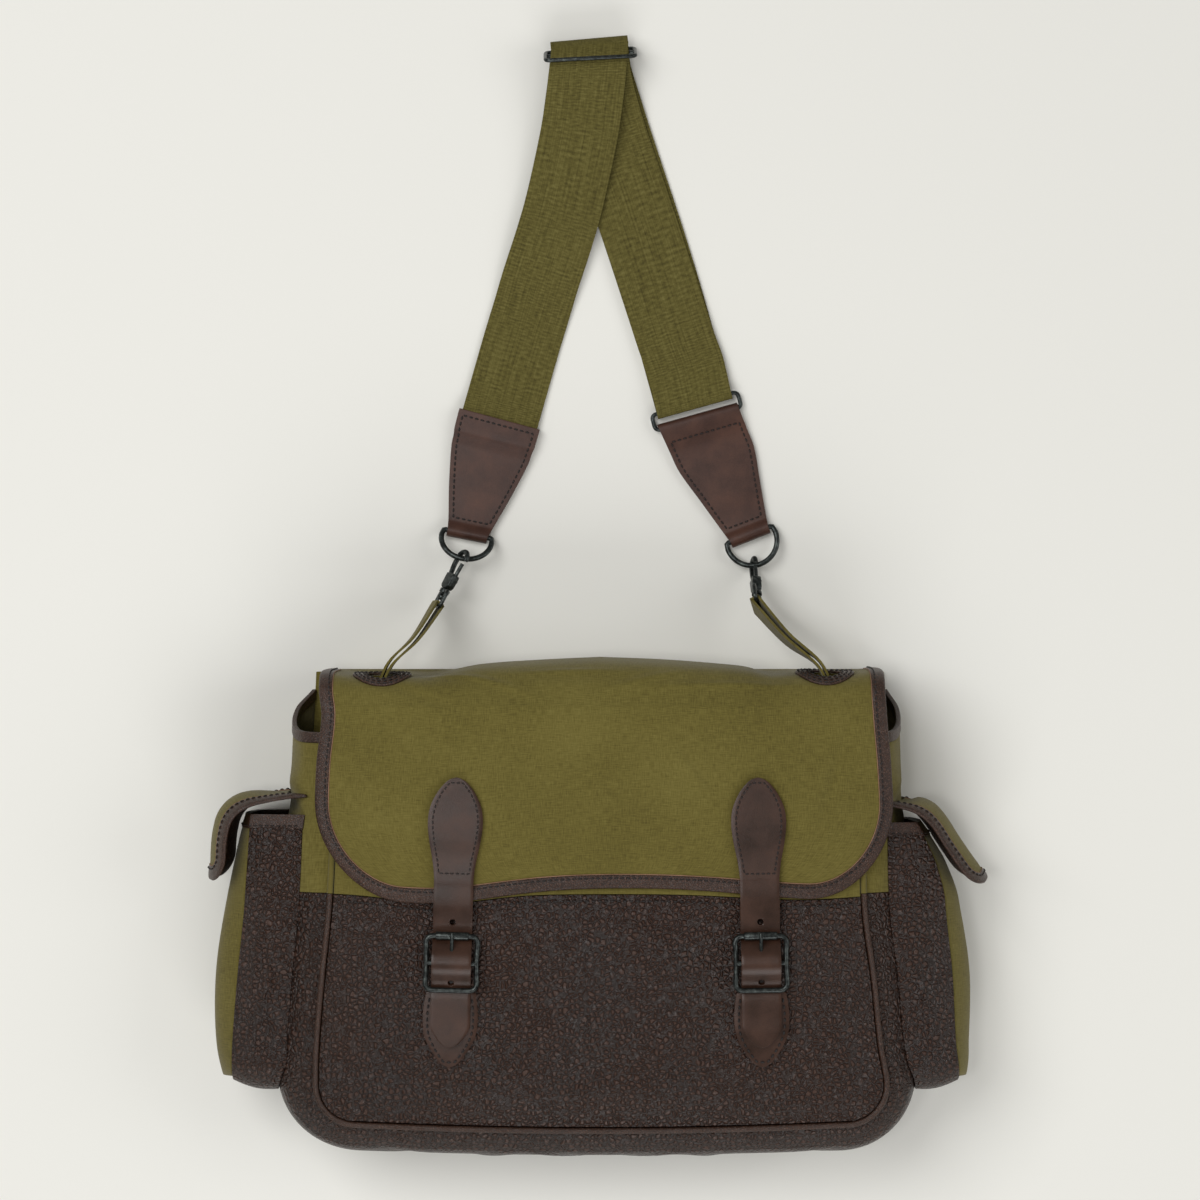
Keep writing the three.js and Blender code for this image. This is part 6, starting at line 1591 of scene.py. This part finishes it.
for end in ends:
    side, name = end["side"], sideName(end["side"])
    top, foot, eye = Vector(end["top"]), Vector(end["foot"]), Vector(end["eye"])
    along = foot - top
    along.z = 0
    length = along.length
    along.normalize()
    barLoop = carrying["dRingWire"] + 0.3 + carrying["endWall"]
    ringLoop = carrying["ringWire"] + 0.3 + carrying["endWall"]
    topLoop = ringLoop if end["ring"] else wall / 2 + 0.3 + carrying["endWall"]
    flat = carrying["endWall"] + (0.15 if end["ring"] else 0.4)
    narrow = carrying["endFootWidth"] / carrying["endTopWidth"]
    # Rows down the leather: place from the top bar, half width share, height of its top face.
    if end["ring"]:
        rows = [(-topLoop, 1, topLoop + 0.2), (-topLoop * 0.85, 1, 1.6 * topLoop), (-topLoop * 0.4, 1, 2 * topLoop - 0.4),
                (0, 0.99, 2 * topLoop), (length * 0.08, 0.98, 2 * topLoop - 0.9), (length * 0.2, 0.97, 2 * flat + 0.4)]
    else:
        rows = [(-1.5, 1, 2 * topLoop), (2, 1, 2 * topLoop), (length * 0.15, 0.99, 2 * topLoop),
                (length * 0.2, 0.97, 2 * topLoop - 0.6)]
    rows += [
        (length * end["taperFrom"], 0.95, 2 * flat),
        (length * 0.62, mix(0.95, narrow, 0.42), 2 * flat),
        (length - 7, mix(0.95, narrow, 0.88), 2 * flat + 0.3),
        (length - 3, mix(0.95, narrow, 0.95), 2 * barLoop - 0.9),
        (length, narrow, 2 * barLoop),
        (length + barLoop * 0.65, narrow, 2 * barLoop - 1.3),
        (length + barLoop, narrow, barLoop + 0.6),
    ]
    table = [{"at": at, "half": half, "high": high} for at, half, high in rows]
    first, last = rows[0][0], rows[-1][0]

    def endPoint(at, off, high):
        across = acrossAt(mix(end["topTurn"], end["dTurn"], clamp(at / length)))
        half = carrying["endTopWidth"] / 2 * between(table, "at", at, "half")
        point = top + along * at + across * off * half
        point.z = high
        return point

    rings = []
    for i in range(91):
        at = mix(first, last, i / 90)
        high = between(table, "at", at, "high")
        low = 0.25
        if at > length:
            low = mix(0.25, barLoop - 0.6, smooth(at, length, last))
        if end["ring"] and at < 0:
            low = mix(0.25, topLoop - 0.4, smooth(-at, 0, topLoop))
        ring = []
        for off, up in ((-1, 0), (-1, 0.46), (-1, 0.54), (-1, 1), (-0.985, 1.03), (-0.5, 1.04), (0, 1.04), (0.5, 1.04),
                        (0.985, 1.03), (1, 1), (1, 0.54), (1, 0.46), (1, 0), (0, 0)):
            point = endPoint(at, off * (0.992 if 0.45 < up < 0.55 else 1), mix(low, high, min(up, 1)) + (0.12 if up > 1.035 else 0))
            ring.append(point)
        rings.append(ring)
    hide = loft(f"strap_end_hide_{name}", rings, [endLeather], f"strap_end_{name}")
    round = hide.modifiers.new("soft edge", "BEVEL")
    round.width = 0.35 * mm
    round.segments = 2
    round.angle_limit = math.radians(45)

    def stitchAt(at, off):
        return endPoint(at, off, between(table, "at", at, "high") + 0.15), upward.copy()

    edge = []
    topStitch = length * 0.12 if end["ring"] else 2.5
    for i in range(41):
        at = mix(topStitch, length - 9, i / 40)
        half = carrying["endTopWidth"] / 2 * between(table, "at", at, "half")
        edge.append((at, 1 - 3.4 / half))
    outline = [(at, -off) for at, off in edge] + edge[::-1]
    outline.append(outline[0])
    stitches(f"strap_end_stitching_{name}", [stitchAt(at, off) for at, off in outline],
             paleThread if end["ring"] else darkThread, 3.8, 1.1)

    # D-ring.
    dAcross = acrossAt(end["dTurn"])
    tilt = math.radians(end["dTilt"])
    dDown = acrossAt(end["dTurn"] - 90) * math.cos(tilt) + upward * math.sin(tilt)
    dRadius = carrying["dRingWidth"] / 2
    dCentre = carrying["dRingHeight"] - dRadius
    outline = [Vector((-dRadius + 2, 0, 0)), Vector((-dRadius + 0.6, 0.6, 0))]
    for i in range(33):
        angle = math.pi * (1 - i / 32)
        outline.append(Vector((dRadius * math.cos(angle), dCentre + dRadius * math.sin(angle), 0)))
    outline += [Vector((dRadius - 0.6, 0.6, 0)), Vector((dRadius - 2, 0, 0))]
    dPlace = frameMatrix(foot, dAcross, dDown)
    wire(f"d_ring_wire_{name}", [([dPlace @ point for point in outline], True)], carrying["dRingWire"], steel,
         f"d_ring_{name}")

    # Snap hook: bent nose and neck, solid body, post and head of the swivel.
    arc = math.radians(90 + end["hookArc"])
    loopAt = dPlace @ Vector((-dRadius * math.cos(arc), dCentre + dRadius * math.sin(arc), 0))
    axis = (loopAt - eye).normalized()
    level = axis.cross(upward).normalized()
    rise = level.cross(axis)

    def rolled(angle):
        return level * math.cos(math.radians(angle)) + rise * math.sin(math.radians(angle))

    hookPlace = frameMatrix(loopAt, rolled(end["hookRoll"]), axis)
    bend = hook["inner"] + hook["wire"]
    spine = [Vector((bend * math.cos(math.radians(a)), bend * math.sin(math.radians(a)), 0)) for a in range(-14, 181, 12)]
    spine += [Vector((-bend, -5, 0)), Vector((-bend + 0.9, -10, 0)), Vector((-2.6, -hook["bodyTop"] - 2, 0))]
    spine = smoothLine(spine, 4)
    wire(f"hook_nose_{name}", [([hookPlace @ point for point in spine], False)], hook["wire"], steel)
    half = hook["bodyWidth"] / 2
    bodyFoot = -hook["bodyTop"] - hook["bodyLength"]
    bm = bmesh.new()
    outline = [(-half - 0.3, -hook["bodyTop"]), (-half, bodyFoot + 2), (-half + 1.5, bodyFoot), (half - 1.5, bodyFoot),
               (half + 0.2, bodyFoot + 2), (half + 0.6, -hook["bodyTop"] - 1), (half - 1, -hook["bodyTop"])]
    face = bm.faces.new([bm.verts.new((x * mm, y * mm, -hook["bodyThickness"] / 2 * mm)) for x, y in outline])
    made = bmesh.ops.extrude_face_region(bm, geom=[face])
    moved = [item for item in made["geom"] if isinstance(item, bmesh.types.BMVert)]
    bmesh.ops.translate(bm, vec=(0, 0, hook["bodyThickness"] * mm), verts=moved)
    bmesh.ops.bevel(bm, geom=bm.edges[:], offset=0.9 * mm, segments=4, affect="EDGES", profile=0.5, material=-1)
    postLength = hook["bossHeight"] + 2.6
    post = bmesh.ops.create_cone(bm, cap_ends=True, segments=20, radius1=hook["swivelRadius"] * mm,
                                 radius2=hook["swivelRadius"] * mm, depth=postLength * mm)["verts"]
    bmesh.ops.rotate(bm, matrix=Matrix.Rotation(math.pi / 2, 3, "X"), verts=post)
    bmesh.ops.translate(bm, vec=(0, (bodyFoot - postLength / 2 + 1) * mm, 0), verts=post)
    head = bmesh.ops.create_uvsphere(bm, u_segments=20, v_segments=12, radius=hook["headRadius"] * mm)["verts"]
    bmesh.ops.scale(bm, vec=(1, 0.8, 1), verts=head)
    headY = bodyFoot - hook["bossHeight"] - 0.6 - hook["headRadius"] * 0.8
    bmesh.ops.translate(bm, vec=(0, headY * mm, 0), verts=head)
    solidPlace = hookPlace.copy()
    solidPlace.translation *= mm
    bmesh.ops.transform(bm, matrix=solidPlace, verts=bm.verts)
    addPiece(f"hook_body_{name}", meshFrom("hook body", bm), [steel], f"hook_{name}")

    # Gate, on its own pin.
    pivot = Vector((hook["gatePivotX"], -hook["gatePivotY"], 0))
    gateTop = Vector((bend * math.cos(math.radians(14)) - 1.2, -bend * math.sin(math.radians(14)) - hook["wire"] - 0.6, 0))
    arm = smoothLine([pivot, pivot + Vector((0.5, 6, 0)), gateTop], 8)
    pin = [pivot - Vector((0, 0, hook["bodyThickness"] / 2 + 0.2)), pivot + Vector((0, 0, hook["bodyThickness"] / 2 + 0.2))]
    lines = [([hookPlace @ point for point in arm], False), ([hookPlace @ point for point in pin], False)]
    wire(f"gate_lever_{name}", lines, hook["gateWire"], steel, f"gate_{name}", f"gate_{name}")

    # Swivel eye with its boss.
    eyeAcross = rolled(end["eyeRoll"])
    bossY = bodyFoot - 0.3 - hook["bossHeight"] / 2
    eyePlace = frameMatrix(loopAt, eyeAcross, axis)
    loop = [point + Vector((0, bossY - hook["eyeHeight"] / 2, 0))
            for point in roundedOutline(hook["eyeWidth"], hook["eyeHeight"], 2)]
    wire(f"eye_wire_{name}", [([eyePlace @ point for point in loop], True)], hook["eyeWire"], steel, f"eye_{name}")
    bm = bmesh.new()
    bmesh.ops.create_cone(bm, cap_ends=True, segments=24, radius1=hook["bossRadius"] * mm,
                          radius2=hook["bossRadius"] * mm, depth=hook["bossHeight"] * mm)
    bmesh.ops.bevel(bm, geom=[e for e in bm.edges if abs(e.verts[0].co.z - e.verts[1].co.z) < 1e-6],
                    offset=0.5 * mm, segments=3, affect="EDGES", profile=0.5, material=-1)
    bossPlace = eyePlace @ Matrix.Translation((0, bossY, 0)) @ Matrix.Rotation(math.pi / 2, 4, "X")
    bossPlace.translation *= mm
    bmesh.ops.transform(bm, matrix=bossPlace, verts=bm.verts)
    addPiece(f"eye_boss_{name}", meshFrom("eye boss", bm), [steel])

    # Canvas tab, doubled through the eye.
    eyeBar = eyePlace @ Vector((0, bossY - hook["eyeHeight"], 0))
    tabTurn = hook["eyeWire"] + 0.3 + carrying["tabWall"] / 2
    legs = [Vector(point) for point in end["tabPath"]]
    firstLeg = (legs[0] - eyeBar).normalized()
    sideways = eyeAcross.cross(firstLeg).normalized()
    squareLeg = sideways.cross(eyeAcross).normalized()
    tabWidth = carrying["tabWidth"]

    def tabLeg(facing):
        result = []
        for i, point in enumerate(legs):
            across = eyeAcross.lerp(upward, min(1, (i + 1) / 2)).normalized()
            before = eyeBar if i == 0 else legs[i - 1]
            flatWay = across.cross(point - before).normalized()
            flatWay *= math.copysign(1, flatWay.dot(sideways))
            away = carrying["tabWall"] / 2 + mix(0.9, 0.4, i / 2)
            result.append((point + flatWay * facing * away, across, mix(tabWidth, tabWidth * 0.86, i / 2)))
        return result

    tabBend = []
    for i in range(9):
        angle = math.radians(-90 + 22.5 * i)
        centre = eyeBar - squareLeg * (tabTurn * math.cos(angle)) + sideways * (tabTurn * math.sin(angle))
        tabBend.append((centre, eyeAcross, tabWidth * 0.86))
    keys = tabLeg(-1)[::-1] + tabBend + tabLeg(1)
    centres = smoothLine([key[0] for key in keys], 6)
    directions = smoothLine([key[1] for key in keys], 6)
    widths = smoothLine([Vector((key[2], 0, 0)) for key in keys], 6)
    stations = [(c, d.normalized(), w.x) for c, d, w in zip(centres, directions, widths)]
    ribbon(f"carrying_tab_{name}", stations, carrying["tabWall"], [oliveCanvas], f"tab_{name}", 8)
print("carrying strap ready")

# Stage: pale floor, soft light from the upper left, camera straight above.
bm = bmesh.new()
bmesh.ops.create_grid(bm, x_segments=1, y_segments=1, size=6)
bmesh.ops.translate(bm, vec=(0, 0, -0.0003), verts=bm.verts)
floorData = bpy.data.meshes.new("floor")
bm.to_mesh(floorData)
bm.free()
floor = bpy.data.objects.new("floor", floorData)
bpy.context.scene.collection.objects.link(floor)
floorFinish, tree, shader = newMaterial("pale painted board")
shader.inputs["Base Color"].default_value = linear("#e6e5df")
shader.inputs["Roughness"].default_value = 0.9
shader.inputs["Specular IOR Level"].default_value = 0.1
floorData.materials.append(floorFinish)

lamps = [
    {"name": "overhead softbox", "at": (-1.5, 1.1, 2.7), "aim": (-0.1, 0.1, 0), "size": (2.0, 2.0), "power": 56},
    {"name": "near softbox", "at": (-0.42, 0.05, 2.72), "aim": (-0.1, 0.1, 0), "size": (0.3, 0.36), "power": 7},
    {"name": "right fill", "at": (2.6, 0.2, 1.9), "aim": (0.1, 0.1, 0), "size": (1.8, 1.8), "power": 23},
    {"name": "bottom fill", "at": (0.2, -2.5, 1.9), "aim": (0, 0, 0), "size": (2.6, 1.6), "power": 44},
]
for lamp in lamps:
    data = bpy.data.lights.new(lamp["name"], "AREA")
    data.shape = "RECTANGLE"
    data.size, data.size_y = lamp["size"]
    data.energy = lamp["power"]
    light = bpy.data.objects.new(lamp["name"], data)
    light.location = lamp["at"]
    light.rotation_euler = (Vector(lamp["aim"]) - Vector(lamp["at"])).to_track_quat("-Z", "Y").to_euler()
    bpy.context.scene.collection.objects.link(light)

world = bpy.data.worlds.new("room")
world.use_nodes = True
world.node_tree.nodes["Background"].inputs["Color"].default_value = linear("#f2f1ee")
world.node_tree.nodes["Background"].inputs["Strength"].default_value = 0.25
bpy.context.scene.world = world
bpy.context.scene.view_settings.view_transform = "Standard"

camera = bpy.data.objects.new("camera", bpy.data.cameras.new("camera"))
camera.location = (0, view["middleY"] * mm, view["height"] * mm)
camera.data.lens = view["lens"]
camera.data.sensor_width = view["sensor"]
bpy.context.scene.collection.objects.link(camera)
bpy.context.scene.camera = camera

print("stage ready")
